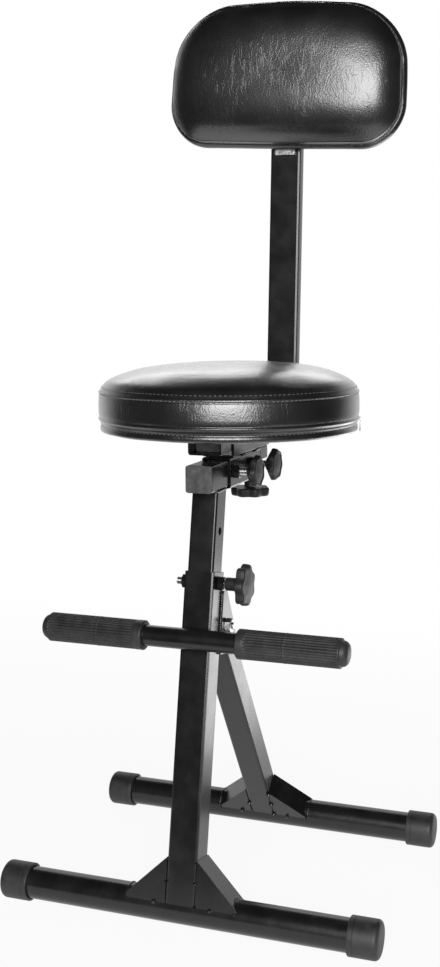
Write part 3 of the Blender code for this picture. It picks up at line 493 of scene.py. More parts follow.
# %% [markdown]
# A star grip is moulded around a brass or steel thread. Its outline is a circle whose radius
# rises and falls seven times, the edges are rounded for the fingers and the face is a low dome.
# A cosine gives the lobes, and rings that shrink from that outline to the round hub give the rest.
# The two small grips at the seat have a conical back and a dished face.

# %% Star grips
LOBES = 7
HUB_R, HUB_BORE_R, HUB_FILLET = 0.0085, 0.0052, 0.0006
BACK_ROUND, FACE_INSET = 0.0026, 0.0046


def star_rows(diameter, thick, hub_len, cone):
    """Rings from the hub's mouth, out over the back of the star, round its rim and in over its face."""
    turns = circle(LOBES * 24)
    swing, face_swing = (0.0018, 0.0009) if cone else (0.0022, 0.0019)
    lobes = diameter / 2 - swing + swing * np.cos(LOBES * turns)
    rim = diameter / 2 - 0.0008 - face_swing + face_swing * np.cos(LOBES * turns)
    start = 0.0016 if cone else hub_len - 0.0005
    dish = 0.0011 if cone else 0.0
    foot, top = HUB_R + HUB_FILLET, hub_len + thick
    rows = [(HUB_BORE_R, 0.002), (HUB_BORE_R, 0.0), (HUB_R - 0.0010, 0.0), (HUB_R - 0.0003, 0.0003)]
    rows += [(HUB_R, 0.0010), (HUB_R, start - 0.0004), (foot, start)]
    for share in (0.2, 0.45, 0.7, 0.9, 1.0):
        rows.append((foot + (lobes - BACK_ROUND - foot) * share, start + (hub_len - start) * share ** 1.4))
    for a in np.radians(np.linspace(-65, 0, 5)):
        rows.append((lobes - BACK_ROUND * (1 - math.cos(a)), hub_len + BACK_ROUND * (1 + math.sin(a))))
    rows += [((lobes + rim) / 2, top - 0.0040), (rim, top - 0.0022)]
    rows += [(rim - 0.0003, top - 0.0015), (rim - 0.0010, top - 0.0007), (rim - 0.0020, top - 0.0002)]
    rows += [(rim - 0.0034, top), (rim - 0.0040, top - 0.4 * dish), (rim - FACE_INSET, top - dish)]
    face = rim - FACE_INSET
    for share, rise in ((0.85, 0.0003), (0.6, 0.0009), (0.36, 0.0014), (0.14, 0.0017), (0.01, 0.0018)):
        rows.append((face.mean() * share + (face - face.mean()) * share ** 3, top - dish + rise))
    return [ring_at(turns, radii, z) for radii, z in rows]


SPIN = {joint["child"]: Vector(joint["pos_m"]) for joint in frame["joints"] if joint["type"] == "hinge"}
RIGHT, LEFT = turn(math.pi / 2, "Y"), turn(-math.pi / 2, "Y")
for label, diameter, thick, hub_len, tilt in (
    ("knob_a", 0.0440, 0.0090, 0.0070, 0.20), ("knob_b", 0.0440, 0.0090, 0.0070, 0.55),
    ("height_knob", 0.0550, 0.0120, 0.0185, 0.10), ("knob_c", 0.0550, 0.0120, 0.0200, 0.0),
):
    node = label + "_grip"
    low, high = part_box(node)
    axis = SPIN[label]
    if label == "knob_c":
        place = Matrix.Translation((axis.x, axis.y, high.z)) @ turn(math.pi, "X")
    else:
        place = Matrix.Translation((low.x, axis.y, axis.z)) @ RIGHT @ turn(tilt, "Z")
    rows = star_rows(diameter, thick, hub_len, cone=label in ("knob_a", "knob_b"))
    shaped(node + "_star", node, place, rows, "polypropylene_moulded", close_first=False, crease=50)
print("stars: 4 with", LOBES, "lobes")

# %% [markdown]
# The screws have rolled M10 threads with a pitch of 1.5 mm. A thread's radius is a saw-tooth of
# the height less the share of a turn, so the same rings that turn a rod also carry its helix.

# %% Threaded rods
SCREW_D, PITCH, POINT = 0.0099, 0.0015, 0.0012
THREAD_DEPTH = 0.558 * PITCH


def mid(node):
    low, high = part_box(node)
    return (low + high) / 2


def threaded(name, node, place, length):
    turns = circle(30)
    rows = []
    for z in np.arange(0.0, length + PITCH / 8, PITCH / 4):
        phase = (z / PITCH - turns / (2 * np.pi)) % 1.0
        radii = SCREW_D / 2 - THREAD_DEPTH * np.abs(2 * phase - 1)
        radii = np.minimum(radii, SCREW_D / 2 - POINT + min(z, length - z, POINT))
        rows.append(ring_at(turns, radii, z))
    shaped(name, node, place, rows, "zinc_plate_bright", crease=25)


for label in ("height_knob", "knob_a", "knob_b"):
    low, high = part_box(label + "_screw")
    place = Matrix.Translation((low.x, SPIN[label].y, SPIN[label].z)) @ RIGHT
    threaded(label + "_thread", label + "_screw", place, high.x - low.x)
low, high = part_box("knob_c_screw")
place = Matrix.Translation((SPIN["knob_c"].x, SPIN["knob_c"].y, low.z))
threaded("knob_c_thread", "knob_c_screw", place, high.z - low.z)
low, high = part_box("height_thread_end")
stud = mid("height_thread_end")
place = Matrix.Translation((high.x, stud.y, stud.z)) @ LEFT
threaded("height_thread_end_rolled", "height_thread_end", place, high.x - low.x)
print("threads: 5")

# %% [markdown]
# Hexagon nuts are pressed from bar and then chamfered on a lathe, so each flat ends in a shallow
# curve at the top. Where a hexagon is wider than the chamfer's cone, the cone cuts it: the
# height of the rim follows from the radius at each angle. The nuts welded to the frame are coated
# with it, and the pivot's nut and bolt are plated.

# %% Nuts and the pivot bolt
NUT_FLATS, NUT_BORE, HEAD_HEIGHT = 0.0170, 0.0102, 0.0064
LEG_LEAN = math.radians(10.6)
PIVOT_NUT_TURN = 0.35


def hexagon_rows(height, bore):
    turns = circle(60)
    hexa = NUT_FLATS / 2 / np.cos((turns + np.pi / 6) % (np.pi / 3) - np.pi / 6)
    face = NUT_FLATS / 2 * 0.97
    fall = (hexa - face) * 0.5
    rows = [(bore / 2, 0.0), (face, 0.0), (hexa, fall), (hexa, height - fall), (face, height)]
    rows.append((bore / 2 + 0.0004, height))
    if bore == NUT_BORE:
        rows += [(bore / 2, height - 0.0006), (bore / 2, 0.0)]
    return [ring_at(turns, radii, z) for radii, z in rows]


pivot = mid("pivot_bolt")
for node, at, angle, finish in (
    ("clamp_nut_a", mid("clamp_nut_a"), 0.0, "powder_coat_satin"),
    ("clamp_nut_b", mid("clamp_nut_b"), 0.0, "powder_coat_satin"),
    ("height_weld_nut", stud, -LEG_LEAN, "powder_coat_satin"),
    ("height_flange_nut", stud, -LEG_LEAN, "powder_coat_satin"),
    ("pivot_nut", pivot, PIVOT_NUT_TURN, "zinc_plate_bright"),
):
    low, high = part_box(node)
    place = Matrix.Translation((low.x, at.y, at.z)) @ turn(angle, "X") @ RIGHT
    rows = hexagon_rows(high.x - low.x, NUT_BORE)
    shaped(node + "_hex", node, place, rows, finish, close_first=False, close_last=False, crease=28)
low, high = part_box("pivot_bolt")
place = Matrix.Translation((low.x + HEAD_HEIGHT - 0.0002, pivot.y, pivot.z)) @ RIGHT
threaded("pivot_bolt_thread", "pivot_bolt", place, high.x - low.x - HEAD_HEIGHT)
place = Matrix.Translation((low.x + HEAD_HEIGHT, pivot.y, pivot.z)) @ LEFT
rows = hexagon_rows(HEAD_HEIGHT, 0.0002)
shaped("pivot_bolt_head", "pivot_bolt", place, rows, "zinc_plate_bright", crease=28)
print("nuts: 5, with one bolt")

# %% [markdown]
# The wood screws under the seat and the two bolts behind the backrest have round pan heads with
# a cross recess. They are small, so a turned head with a cross pressed into its crown is enough.

# %% Pan head screws
def pan_head(diameter, height, shank, length):
    """Rings for a screw whose head is up: tip, shank, flange, crown, with a cross pressed in."""
    turns = circle(48)
    cross = np.clip(1.4 * np.abs(np.cos(2 * turns)) - 0.55, 0, 1)
    half = diameter / 2
    rows = [(shank * 0.2, -length), (shank / 2, -length + shank / 2), (shank / 2, 0.0), (half, 0.0)]
    rows += [(half * (math.cos(a) * 0.35 + 0.65), height * math.sin(a)) for a in np.radians((12, 35, 60))]
    rows += [(half * 0.54, height), (half * 0.48, height * (1 - 0.55 * cross))]
    rows.append((half * 0.10, height * (1 - 0.6 * cross)))
    return [ring_at(turns, radii, z) for radii, z in rows]


SEAT_HEAD, BACK_HEAD = 0.0025, 0.0040
for number in (1, 2, 3, 4):
    node = f"seat_screw_{number}"
    low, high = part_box(node)
    place = Matrix.Translation((mid(node).x, mid(node).y, low.z + SEAT_HEAD)) @ turn(math.pi, "X")
    rows = pan_head(0.0100, SEAT_HEAD, 0.0050, high.z - low.z - SEAT_HEAD)
    shaped(node + "_pan", node, place, rows, "zinc_plate_bright")
BACK_LEAN = math.radians(3.2)
for number in (1, 2):
    node = f"back_bolt_{number}"
    low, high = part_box(node)
    out = Vector((0, math.cos(BACK_LEAN), -math.sin(BACK_LEAN)))
    reach = (high.y - low.y) / math.cos(BACK_LEAN)
    tip = mid(node) - out * reach / 2
    place = Matrix.Translation(tip + out * (reach - BACK_HEAD)) @ turn(-math.pi / 2 - BACK_LEAN, "X")
    rows = pan_head(0.0108, BACK_HEAD, 0.0060, reach - BACK_HEAD - 0.0004)
    shaped(node + "_pan", node, place, rows, "zinc_plate_bright")
print("screws: 6")

# %% [markdown]
# Everything on the frame is joined by arc welding before it is coated. A bead is a row of
# overlapping puddles about 3 mm apart, uneven because it was laid by hand, so a tube is swept
# along the seam and its radius swells with each puddle and wanders with a noise.

# %% Weld beads
BEAD_STEP, PUDDLE = 0.0007, 0.0030


def bead(name, body, path, radius, seed):
    corners = [Vector(p) for p in path]
    spots = []
    for a, b in zip(corners, corners[1:]):
        steps = max(2, int((b - a).length / BEAD_STEP))
        spots += [a.lerp(b, i / steps) for i in range(steps)]
    spots.append(corners[-1])
    rows = []
    for i, here in enumerate(spots):
        ahead = (spots[min(i + 1, len(spots) - 1)] - spots[max(i - 1, 0)]).normalized()
        across = ahead.cross(Vector((0.31, 0.57, 0.76))).normalized()
        over = ahead.cross(across)
        wander = noise.noise((i * 0.09, seed * 7.3, 0.5))
        beat = abs(math.sin(i * BEAD_STEP / PUDDLE * math.pi))
        ends = min(1.0, 0.35 + min(i, len(spots) - 1 - i) / 4)
        thick = radius * (0.78 + 0.22 * beat + 0.28 * wander) * ends
        centre = here + across * (0.25 * radius * noise.noise((i * 0.05, seed * 3.1, 9.0)))
        rows.append([tuple(centre + (across * math.cos(a) + over * math.sin(a)) * thick) for a in circle(10)])
    piece(name, skin(name, rows, crease=60), body, "powder_coat_pooled")


REAR_LEAN = 0.590883
front_bar, rear_bar = mid("front_foot_bar"), mid("rear_foot_bar")
BAR_R = front_bar.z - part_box("front_foot_bar")[0].z
LEG = Matrix.Translation((0, front_bar.y, front_bar.z)) @ turn(-LEG_LEAN, "X")
REAR = Matrix.Translation((0, rear_bar.y, rear_bar.z)) @ turn(REAR_LEAN, "X")
print(f"foot bars: {2000 * BAR_R:.1f} mm across")

# %% [markdown]
# A leg's two gussets are joined to it by full beads behind and over their toes. In front there are
# only short tacks, which show as dark knots with a glint.

# %% Welds of the legs
LEG_HALF, REAR_HALF = 0.0200, 0.0175
GUSSET_RISE, TACK_R = 0.0660, 0.0036
PROUD = 0.0002


def seams(prefix, body, frame_of, half, reach):
    def lay(name, points, radius, seed):
        bead(f"{prefix}_{name}", body, [frame_of @ Vector(p) for p in points], radius, seed)

    drop = math.sqrt(BAR_R ** 2 - half ** 2)
    for side, sign in (("left", -1), ("right", 1)):
        down = [(sign * (half + PROUD), half - 0.0008, z) for z in (GUSSET_RISE - 0.002, drop + 0.006)]
        lay(f"weld_leg_{side}", down, radius=0.0013, seed=sign + 1)
        along = [(sign * x, half + PROUD, drop + 0.0004) for x in (half - 0.003, reach - 0.002)]
        lay(f"weld_bar_{side}", along, radius=0.0019, seed=3 * sign + 1)
        over = [(sign * (reach + PROUD), y, math.sqrt(BAR_R ** 2 - y * y) + PROUD)
                for y in np.linspace(-half + 0.001, half - 0.001, 9)]
        lay(f"weld_toe_{side}", over, radius=0.0013, seed=5 * sign)
    front = -half - 0.0006
    for number, (x, z, to_x, to_z) in enumerate((
        (half, GUSSET_RISE - 0.004, half, GUSSET_RISE - 0.001), (half, 0.036, half, 0.040),
        (half, drop + 0.001, half + 0.001, drop + 0.004), (-half, 0.034, -half, 0.037),
        (-half - 0.012, drop + 0.001, -half - 0.018, drop + 0.0012),
        (half + 0.018, drop + 0.001, half + 0.023, drop + 0.0008),
        (reach - 0.003, drop + 0.001, reach - 0.001, drop + 0.001),
        (-reach + 0.003, drop + 0.001, -reach + 0.001, drop + 0.001),
    )):
        lay(f"tack_{number}", [(x, front, z), (to_x, front, to_z)], TACK_R, number)


seams("front", "base", LEG, LEG_HALF, 0.0740)
seams("rear", "rear_leg", REAR, REAR_HALF, 0.0690)
drop = math.sqrt(BAR_R ** 2 - LEG_HALF ** 2)
foot = [LEG @ Vector((x, LEG_HALF + PROUD, drop)) for x in (-0.018, 0.018)]
bead("front_weld_foot_back", "base", foot, radius=0.0018, seed=1)
print("leg welds laid")

# %% [markdown]
# The other welds are shorter: two runs over the footrest bar, one down each hinge ear, a bead round
# three sides of the post under its head, and stitches of weld between sleeve and collar.

# %% Welds of footrest, ears, head and sleeve
REST_UP, REST_HALF, REST_OUT, REST_RUN = 0.3440, 0.0052, 0.0210, 0.0175
EAR_X, EAR_Y, EAR_FROM, EAR_TO = 0.0212, 0.0126, 0.3265, 0.4020
POST_HALF = 0.0172
for label, up in (("top", REST_HALF), ("low", -REST_HALF)):
    ends = [LEG @ Vector((x, -REST_OUT, REST_UP + up)) for x in (-REST_RUN, REST_RUN)]
    bead("footrest_weld_" + label, "base", ends, radius=0.0016, seed=11)
for side, sign in (("left", -1), ("right", 1)):
    ear = [LEG @ Vector((sign * EAR_X, EAR_Y, s)) for s in (EAR_FROM, EAR_TO)]
    bead("ear_weld_" + side, "base", ear, radius=0.0014, seed=13 * sign)
head_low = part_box("head_tube")[0].z
ring_path = []
for x, y in (
    (-0.0165, 0.012), (-POST_HALF, -POST_HALF), (POST_HALF, -POST_HALF), (POST_HALF, POST_HALF)
):
    s = (head_low - LEG.translation.z + y * math.sin(LEG_LEAN)) / math.cos(LEG_LEAN)
    ring_path.append(LEG @ Vector((x, y, s - 0.0006)))
bead("head_weld", "seat_post", ring_path, radius=0.0020, seed=17)
sleeve_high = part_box("seat_sleeve")[1]
collar_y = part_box("rear_collar")[0].y
for side, sign in (("left", -1), ("right", 1)):
    for number, run in enumerate(((0.36, 0.46), (0.80, 0.97))):
        seam = [(sign * (sleeve_high.x + 0.0004), collar_y + (sleeve_high.y - collar_y) * share,
                 sleeve_high.z - 0.0002) for share in run]
        bead(f"sleeve_weld_{side}_{number}", "seat_carrier", seam, radius=0.0022, seed=19 * sign + number)
print("frame welds laid")

# %% [markdown]
# The seat cushion is foam on a board under a sewn cover: a crowned top, a shoulder band between
# two rows of stitches, a side panel, a welt with the zip and a hem rolled under the board.
# A profile through those sizes is turned into rings, which gives the form. The seams hold still,
# and a short cloth simulation swells the panels between them a little, as foam does.

# %% Seat cushion: profile
low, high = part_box("seat_cushion")
SEAT = Vector((0, (low.y + high.y) / 2, low.z))
SEAT_R = (high.x - low.x) / 2
PROFILE_MM = [
    (2, 88.6), (40, 88.0), (80, 85.8), (110, 82.2), (130, 78.4), (142, 75.2), (152, 71.6), (159.5, 67.8),
    (164.2, 64.2), (167.0, 61.0), (168.8, 58.2), (170.7, 55.6), (172.4, 53.4), (173.2, 52.2), (173.3, 51.4),
    (172.4, 50.4), (172.5, 48.6), (172.9, 44.0), (173.3, 38.5), (173.5, 32.0), (173.4, 26.0), (172.8, 21.6),
    (172.0, 19.6), (173.2, 18.4), (173.4, 17.4), (172.9, 16.2), (171.6, 15.0), (171.2, 12.2), (170.5, 9.4),
    (171.5, 7.2), (171.6, 4.6), (170.6, 2.0), (167.6, 0.4), (162.0, 0.2), (157.2, 1.6), (156.8, 8.0),
]
SEAM_ROWS_MM = {"upper": 58.2, "lower": 50.4, "welt": 17.4, "hem": 9.4}


def curve_through(points, spacing):
    """Points along a smooth curve through the given ones, about a spacing apart."""
    pts = np.asarray(points, float)
    ends = np.vstack([2 * pts[0] - pts[1], pts, 2 * pts[-1] - pts[-2]])
    out = []
    for i in range(1, len(ends) - 2):
        a, b, c, d = ends[i - 1:i + 3]
        steps = max(1, int(round(np.linalg.norm(c - b) / spacing)))
        for t in np.arange(steps) / steps:
            bend, twist_and_glint = 2 * a - 5 * b + 4 * c - d, 3 * b - a - 3 * c + d
            out.append(0.5 * (2 * b + (c - a) * t + bend * t * t + twist_and_glint * t ** 3))
    out.append(pts[-1])
    return np.array(out)


SPACING_MM = 3.6
seat_profile = curve_through(PROFILE_MM, SPACING_MM)
print("seat profile:", len(seat_profile), "points")

# %% [markdown]
# A cover swells because its foam is squeezed in, so each cover is simulated as a cloth with a
# pressure inside. Pinned points hold still. The cover is cut a little small, so it stays taut
# while it swells for 20 frames without gravity. A slack cover folds, which is why it may move only
# a millimetre or two, and why the movement is averaged with its neighbours'.

# %% Cloth simulation
FRAMES, PASSES = 20, 10
COVER = {
    "quality": 6, "mass": 0.25, "tension_stiffness": 18, "compression_stiffness": 12, "shear_stiffness": 6,
    "bending_stiffness": 0.4, "air_damping": 4, "use_pressure": True, "uniform_pressure_force": 3.0,
    "shrink_min": 0.004,
}


def swell(name, rings, pinned, most):
    """Rings of a cover after a short cloth simulation; pinned is 1 on rows that stay."""
    rings = np.asarray(rings, float)
    rows, count = rings.shape[:2]
    holder = bpy.data.objects.new(name + "_sim", skin(name + "_sim", rings))
    scene.collection.objects.link(holder)
    group = holder.vertex_groups.new(name="sewn")
    for row in range(rows):
        group.add(list(range(row * count, (row + 1) * count)), float(pinned[row]), "REPLACE")
    cloth = holder.modifiers.new("cover", "CLOTH")
    for key, value in COVER.items():
        setattr(cloth.settings, key, value)
    cloth.settings.vertex_group_mass = group.name
    cloth.settings.effector_weights.gravity = 0
    cloth.point_cache.frame_start, cloth.point_cache.frame_end = 1, FRAMES
    for step in range(1, FRAMES + 1):
        scene.frame_set(step)
    done = holder.evaluated_get(bpy.context.evaluated_depsgraph_get())
    moved = np.array([v.co for v in done.data.vertices]).reshape(rings.shape) - rings
    scene.frame_set(1)
    bpy.data.objects.remove(holder, do_unlink=True)
    far = np.linalg.norm(moved, axis=2, keepdims=True)
    print(f"{name}: cover moved {1000 * far.max():.1f} mm at most, {1000 * far.mean():.1f} mm on average")
    moved *= np.minimum(1.0, most / np.maximum(far, 1e-9))
    for _ in range(PASSES):
        moved[1:-1] = (moved[:-2] + 2 * moved[1:-1] + moved[2:]) / 4
        moved = (np.roll(moved, 1, 1) + 2 * moved + np.roll(moved, -1, 1)) / 4
    return rings + moved * (1 - np.asarray(pinned))[:, None, None]


def finer(rings):
    """Twice as many rings and points, on smooth curves through the old ones."""
    def halfway(grid, closed):
        if closed:
            near = [np.roll(grid, k, 0) for k in (1, 0, -1, -2)]
        else:
            wide = np.concatenate([2 * grid[:1] - grid[1:2], grid, 2 * grid[-1:] - grid[-2:-1]])
            near = [wide[k:len(wide) - 3 + k] for k in range(4)]
        between = (9 * (near[1] + near[2]) - near[0] - near[3]) / 16
        out = np.empty((len(grid) + len(between), *grid.shape[1:]))
        out[0::2], out[1::2] = grid, between
        return out

    return halfway(halfway(np.asarray(rings), False).swapaxes(0, 1), True).swapaxes(0, 1)


# %% [markdown]
# The seat's rings are never quite round: a slow noise moves them by half a millimetre, and the
# crown is a little fuller to the right, as foam settles. The rows at the seams are pinned.

# %% Seat cushion: cover
UNEVEN, UNEVEN_UP, FULLER, MEAN_R = 0.0006, 1.2, 0.018, 0.17
CALM_R, CROWN_R, SHOULDER = 0.15, 0.16, 0.05
SIDE_TOP, SIDE_INWARD, HEM_TOP = 0.0588, 0.0006, 0.0045
PIN_MM = 1.4
turns = circle(150)
radii, heights = seat_profile[:, 0] / 1000, seat_profile[:, 1] / 1000
uneven = np.array([
    [UNEVEN * noise.noise((math.cos(a) * 3.0, math.sin(a) * 3.0, z * 40)) for a in turns] for z in heights
]) * np.clip(radii / CALM_R, 0, 1)[:, None] ** 2
inward = np.where(heights > SIDE_TOP, 0.0, SIDE_INWARD)
fuller = FULLER * np.clip(1 - (radii / CROWN_R) ** 2.5, 0, 1)[:, None] * radii[:, None] * np.cos(turns)
seat_rings = np.stack([
    SEAT.x + (radii - inward)[:, None] * np.cos(turns) * (1 + uneven / MEAN_R),
    SEAT.y + (radii - inward)[:, None] * np.sin(turns) * (1 + uneven / MEAN_R),
    SEAT.z + heights[:, None] + uneven * UNEVEN_UP + fuller * (heights > SHOULDER)[:, None],
], 2)
pinned = np.zeros(len(heights))
for level in SEAM_ROWS_MM.values():
    pinned[np.abs(seat_profile[:, 1] - level) < PIN_MM] = 1.0
pinned[heights < HEM_TOP] = 1.0
seat_rings = finer(swell("seat_cushion", seat_rings, pinned, most=0.0014))
print("seat rings:", len(seat_rings), "with", int(pinned.sum()), "pinned rows before refining")

# %% [markdown]
# Sewing pulls the cover in at each stitch row, and the pull gathers small puckers beside it.
# The rows are pressed in after the simulation, with a ripple of one pucker to each stitch.

# %% Seat cushion: seams and puckers
STITCH, SEAM_WIDTH, SEAMS_OUTSIDE = 0.0061, 0.0016, 0.140


def press_seam(rings, level, depth, pucker):
    """Draws the cover in along one height, with a ripple at the stitches' spacing."""
    z = rings[:, :, 2] - SEAT.z
    off = (z - level) / SEAM_WIDTH
    around = np.arctan2(rings[:, :, 1] - SEAT.y, rings[:, :, 0] - SEAT.x)
    beat = np.sin(around * SEAT_R / STITCH * 2 * np.pi)
    pull = depth * np.exp(-off ** 2) + pucker * beat * np.exp(-(off / 2.2) ** 2)
    out = np.stack([np.cos(around), np.sin(around), np.zeros_like(around)], 2)
    outer = np.hypot(rings[:, :, 0] - SEAT.x, rings[:, :, 1] - SEAT.y) > SEAMS_OUTSIDE
    return rings - out * (pull * outer)[:, :, None]


for label, depth, pucker in (
    ("upper", 0.0003, 0.00010), ("lower", 0.0014, 0.00022), ("hem", 0.0009, 0.00012)
):
    seat_rings = press_seam(seat_rings, SEAM_ROWS_MM[label] / 1000, depth, pucker)
seat_mesh = skin("seat_cover", seat_rings, crease=80)
seat_cover = piece("seat_cover", seat_mesh, "seat_carrier", "leatherette_embossed", "seat_cushion")
print("seat cover:", len(seat_mesh.vertices), "points")

# %% [markdown]
# Each stitch is a short length of thread that dips into the cover at both ends. All the stitches
# of a row are one mesh of small six-sided loops, set out along the ring of points that the
# seam follows, so they stay on the cover whatever the simulation did.

# %% Stitch rows
THREAD_BOW = ((-0.5, 0.45, -0.8), (-0.28, 1.0, 0.1), (0.28, 1.0, 0.1), (0.5, 0.45, -0.8))
THREAD_SIDES, THREAD_SHARE = 6, 0.66
OUTER_MM, FAR_MM = 150, 100


def stitches(name, body, path, outward, length, radius):
    """Threads along a closed path of points, each pointing to the next and lying on the outward side."""
    closed, lift = (np.vstack([track, track[:1]]) for track in (path, outward))
    run = np.concatenate([[0], np.cumsum(np.linalg.norm(np.diff(closed, axis=0), axis=1))])

    def point_of(track, s):
        return np.array([np.interp(s % run[-1], run, track[:, k]) for k in range(3)])

    count = int(run[-1] / STITCH)
    verts, faces = [], []
    for i in range(count):
        faces += ring_faces(len(THREAD_BOW), THREAD_SIDES, len(verts))
        for along, size, dip in THREAD_BOW:
            s = (i + 0.5) * run[-1] / count + along * length
            here, up = point_of(closed, s), point_of(lift, s)
            ahead = point_of(closed, s + 0.001) - here
            side = np.cross(up, ahead / np.linalg.norm(ahead))
            centre = here + up * radius * dip
            for a in circle(THREAD_SIDES):
                verts.append(tuple(centre + radius * size * (up * math.cos(a) + side * math.sin(a))))
    mesh = bpy.data.meshes.new(name)
    mesh.from_pydata(verts, [], faces)
    smooth(mesh, 60)
    piece(name, mesh, body, "polyester_thread")
    return count


for label, thread in (("upper", 0.00042), ("lower", 0.00072), ("hem", 0.00042)):
    off = np.abs(seat_profile[:, 1] - SEAM_ROWS_MM[label]) + (seat_profile[:, 0] < OUTER_MM) * FAR_MM
    path = seat_rings[2 * int(np.argmin(off))]
    around = np.arctan2(path[:, 1] - SEAT.y, path[:, 0] - SEAT.x)
    outward = ring_at(around, 1.0, 0.9 if label == "upper" else 0.1)
    outward /= np.linalg.norm(outward, axis=1, keepdims=True)
    made = stitches(f"seat_stitches_{label}", "seat_carrier", path, outward, STITCH * THREAD_SHARE, thread)
    print("seat", label, "row:", made, "stitches")

# %% [markdown]
# The zip's pull hangs at the right of the seat, on the welt: a small stamped tab with a hole.
# A flat ring of points with rounded corners, joined to a smaller one for the hole, makes it.

# %% Zip pull
zip_mid = mid("zip_pull")
zip_turn = math.atan2(zip_mid.y - SEAT.y, zip_mid.x)
zip_frame = Matrix.Translation(zip_mid) @ turn(zip_turn, "Z") @ RIGHT @ turn(math.pi / 2, "Z")
TAB_THICK = 0.0012


def tab_outline(half_w, half_l):
    spots = []
    for a in circle(48):
        x, y = math.cos(a), math.sin(a)
        grow = 1 / max(abs(x) ** 4 + abs(y) ** 4, 1e-9) ** 0.25
        taper = 1.0 - 0.18 * (y > 0) * y * grow
        spots.append((half_w * x * grow * taper, half_l * y * grow))
    return np.array(spots)


tab = tab_outline(0.0030, 0.0098)
eye = tab_outline(0.0012, 0.0020) + np.array((0, 0.0055))
rows = []
for loop, share in (
    (eye, -0.5), (tab * 0.93, -0.5), (tab, -0.25), (tab, 0.25), (tab * 0.93, 0.5), (eye, 0.5), (eye, -0.5)
):
    rows.append(np.column_stack([loop, np.full(len(loop), share * TAB_THICK)]))
shaped("zip_pull_tab", "zip_pull", zip_frame, rows, "zinc_plate_bright", close_first=False, close_last=False)
print("zip pull:", len(rows), "rings")

# %% [markdown]
# The backrest cushion is a rounded slab: a front panel crowned by its foam, a narrow side band
# and a flat back on a board. It is sewn along the edge of the front panel. Rings that follow
# the outline, from the middle out to the seam, round the side and in at the back, make one skin.
# On the photographed stool it hangs a little skew: rolled, turned and shifted to the right.

# %% Backrest cushion: outline
HALF_LOW, HALF_TOP, HALF_H, TOP_LOWER = 0.1780, 0.1660, 0.1030, 0.0054
R_LOW, R_TOP = 0.0600, 0.0850
BOW_LOW, BOW_SIDE, BOW_TOP = 0.0014, 0.0036, 0.0090
BOW_X, BOW_Y = 0.180, 0.105
PAD_COUNT = 160


def pad_outline():
    """The pad's rim, counter-clockwise, evenly spaced."""
    low, top = -HALF_H, HALF_H - TOP_LOWER
    corners = [Vector(p) for p in ((HALF_LOW, low), (HALF_TOP, top), (-HALF_TOP, top), (-HALF_LOW, low))]
    radii_at = (R_LOW, R_TOP, R_TOP, R_LOW)
    loop = []
    for i, here in enumerate(corners):
        before = (corners[i - 1] - here).normalized()
        after = (corners[(i + 1) % 4] - here).normalized()
        half = before.angle(after) / 2
        centre = here + (before + after).normalized() * (radii_at[i] / math.sin(half))
        start = here + before * (radii_at[i] / math.tan(half)) - centre
        for a in np.linspace(0, math.pi - 2 * half, 40):
            loop.append((centre.x + start.x * math.cos(a) - start.y * math.sin(a),
                         centre.y + start.x * math.sin(a) + start.y * math.cos(a)))
    loop = np.array(loop + loop[:1])
    run = np.concatenate([[0], np.cumsum(np.linalg.norm(np.diff(loop, axis=0), axis=1))])
    even = np.linspace(0, run[-1], PAD_COUNT, endpoint=False)
    out = np.column_stack([np.interp(even, run, loop[:, k]) for k in (0, 1)])
    ahead = np.roll(out, -1, 0) - np.roll(out, 1, 0)
    normal = np.column_stack([ahead[:, 1], -ahead[:, 0]])
    normal /= np.linalg.norm(normal, axis=1, keepdims=True)
    bow_x = np.cos(np.clip(out[:, 0] / BOW_X, -1, 1) * np.pi / 2) ** 2
    bow_y = np.cos(np.clip(out[:, 1] / BOW_Y, -1, 1) * np.pi / 2) ** 2
    bow_x *= np.where(normal[:, 1] > 0, BOW_TOP, BOW_LOW)
    belly = normal[:, 1] ** 2 * bow_x + normal[:, 0] ** 2 * bow_y * BOW_SIDE
    return out + normal * belly[:, None], normal


rim, rim_normal = pad_outline()
print(f"pad: {2000 * rim[:, 0].max():.0f} x {2000 * HALF_H:.0f} mm")

# %% [markdown]
# Foam under a stretched cover takes nearly the form of a soap film blown up over the same outline:
# flat level lines in the middle, steep at the rim and never a ridge. Averaging each point of a
# grid with its neighbours, over and over, finds that film. The crown follows its height, but is
# flatter in the middle and steeper at the rim, because foam is fuller there than a film is.

# %% Backrest cushion: crown
GRID, GRID_X, GRID_Y, FILM_PASSES = 0.0035, 0.189, 0.112, 5000
SEAM_INSET, SEAM_DEPTH = 0.0066, 0.0130
PAD_CROWN, FLATTER, STEEPER = 0.0425, 2.6, 0.8
grid_x = np.arange(-GRID_X, GRID_X + 0.0001, GRID)
grid_y = np.arange(-GRID_Y, GRID_Y + 0.0001, GRID)


def inside(loop):
    """True at grid points from which a ray to the right crosses a closed line an odd number of times."""
    x, y = np.meshgrid(grid_x, grid_y)
    odd = np.zeros(x.shape, bool)
    for (x0, y0), (x1, y1) in zip(loop, np.roll(loop, -1, 0)):
        if y0 != y1:
            odd ^= ((y0 > y) != (y1 > y)) & (x < (x1 - x0) * (y - y0) / (y1 - y0) + x0)
    return odd


def soap_film(loop):
    held = inside(loop)
    film = np.zeros(held.shape)
    for _ in range(FILM_PASSES):
        around = film[:-2, 1:-1] + film[2:, 1:-1] + film[1:-1, :-2] + film[1:-1, 2:]
        film[1:-1, 1:-1] = np.where(held[1:-1, 1:-1], (around + 1.0) / 4, 0.0)
    return film / film.max()


film = soap_film(rim - rim_normal * (SEAM_INSET - GRID))


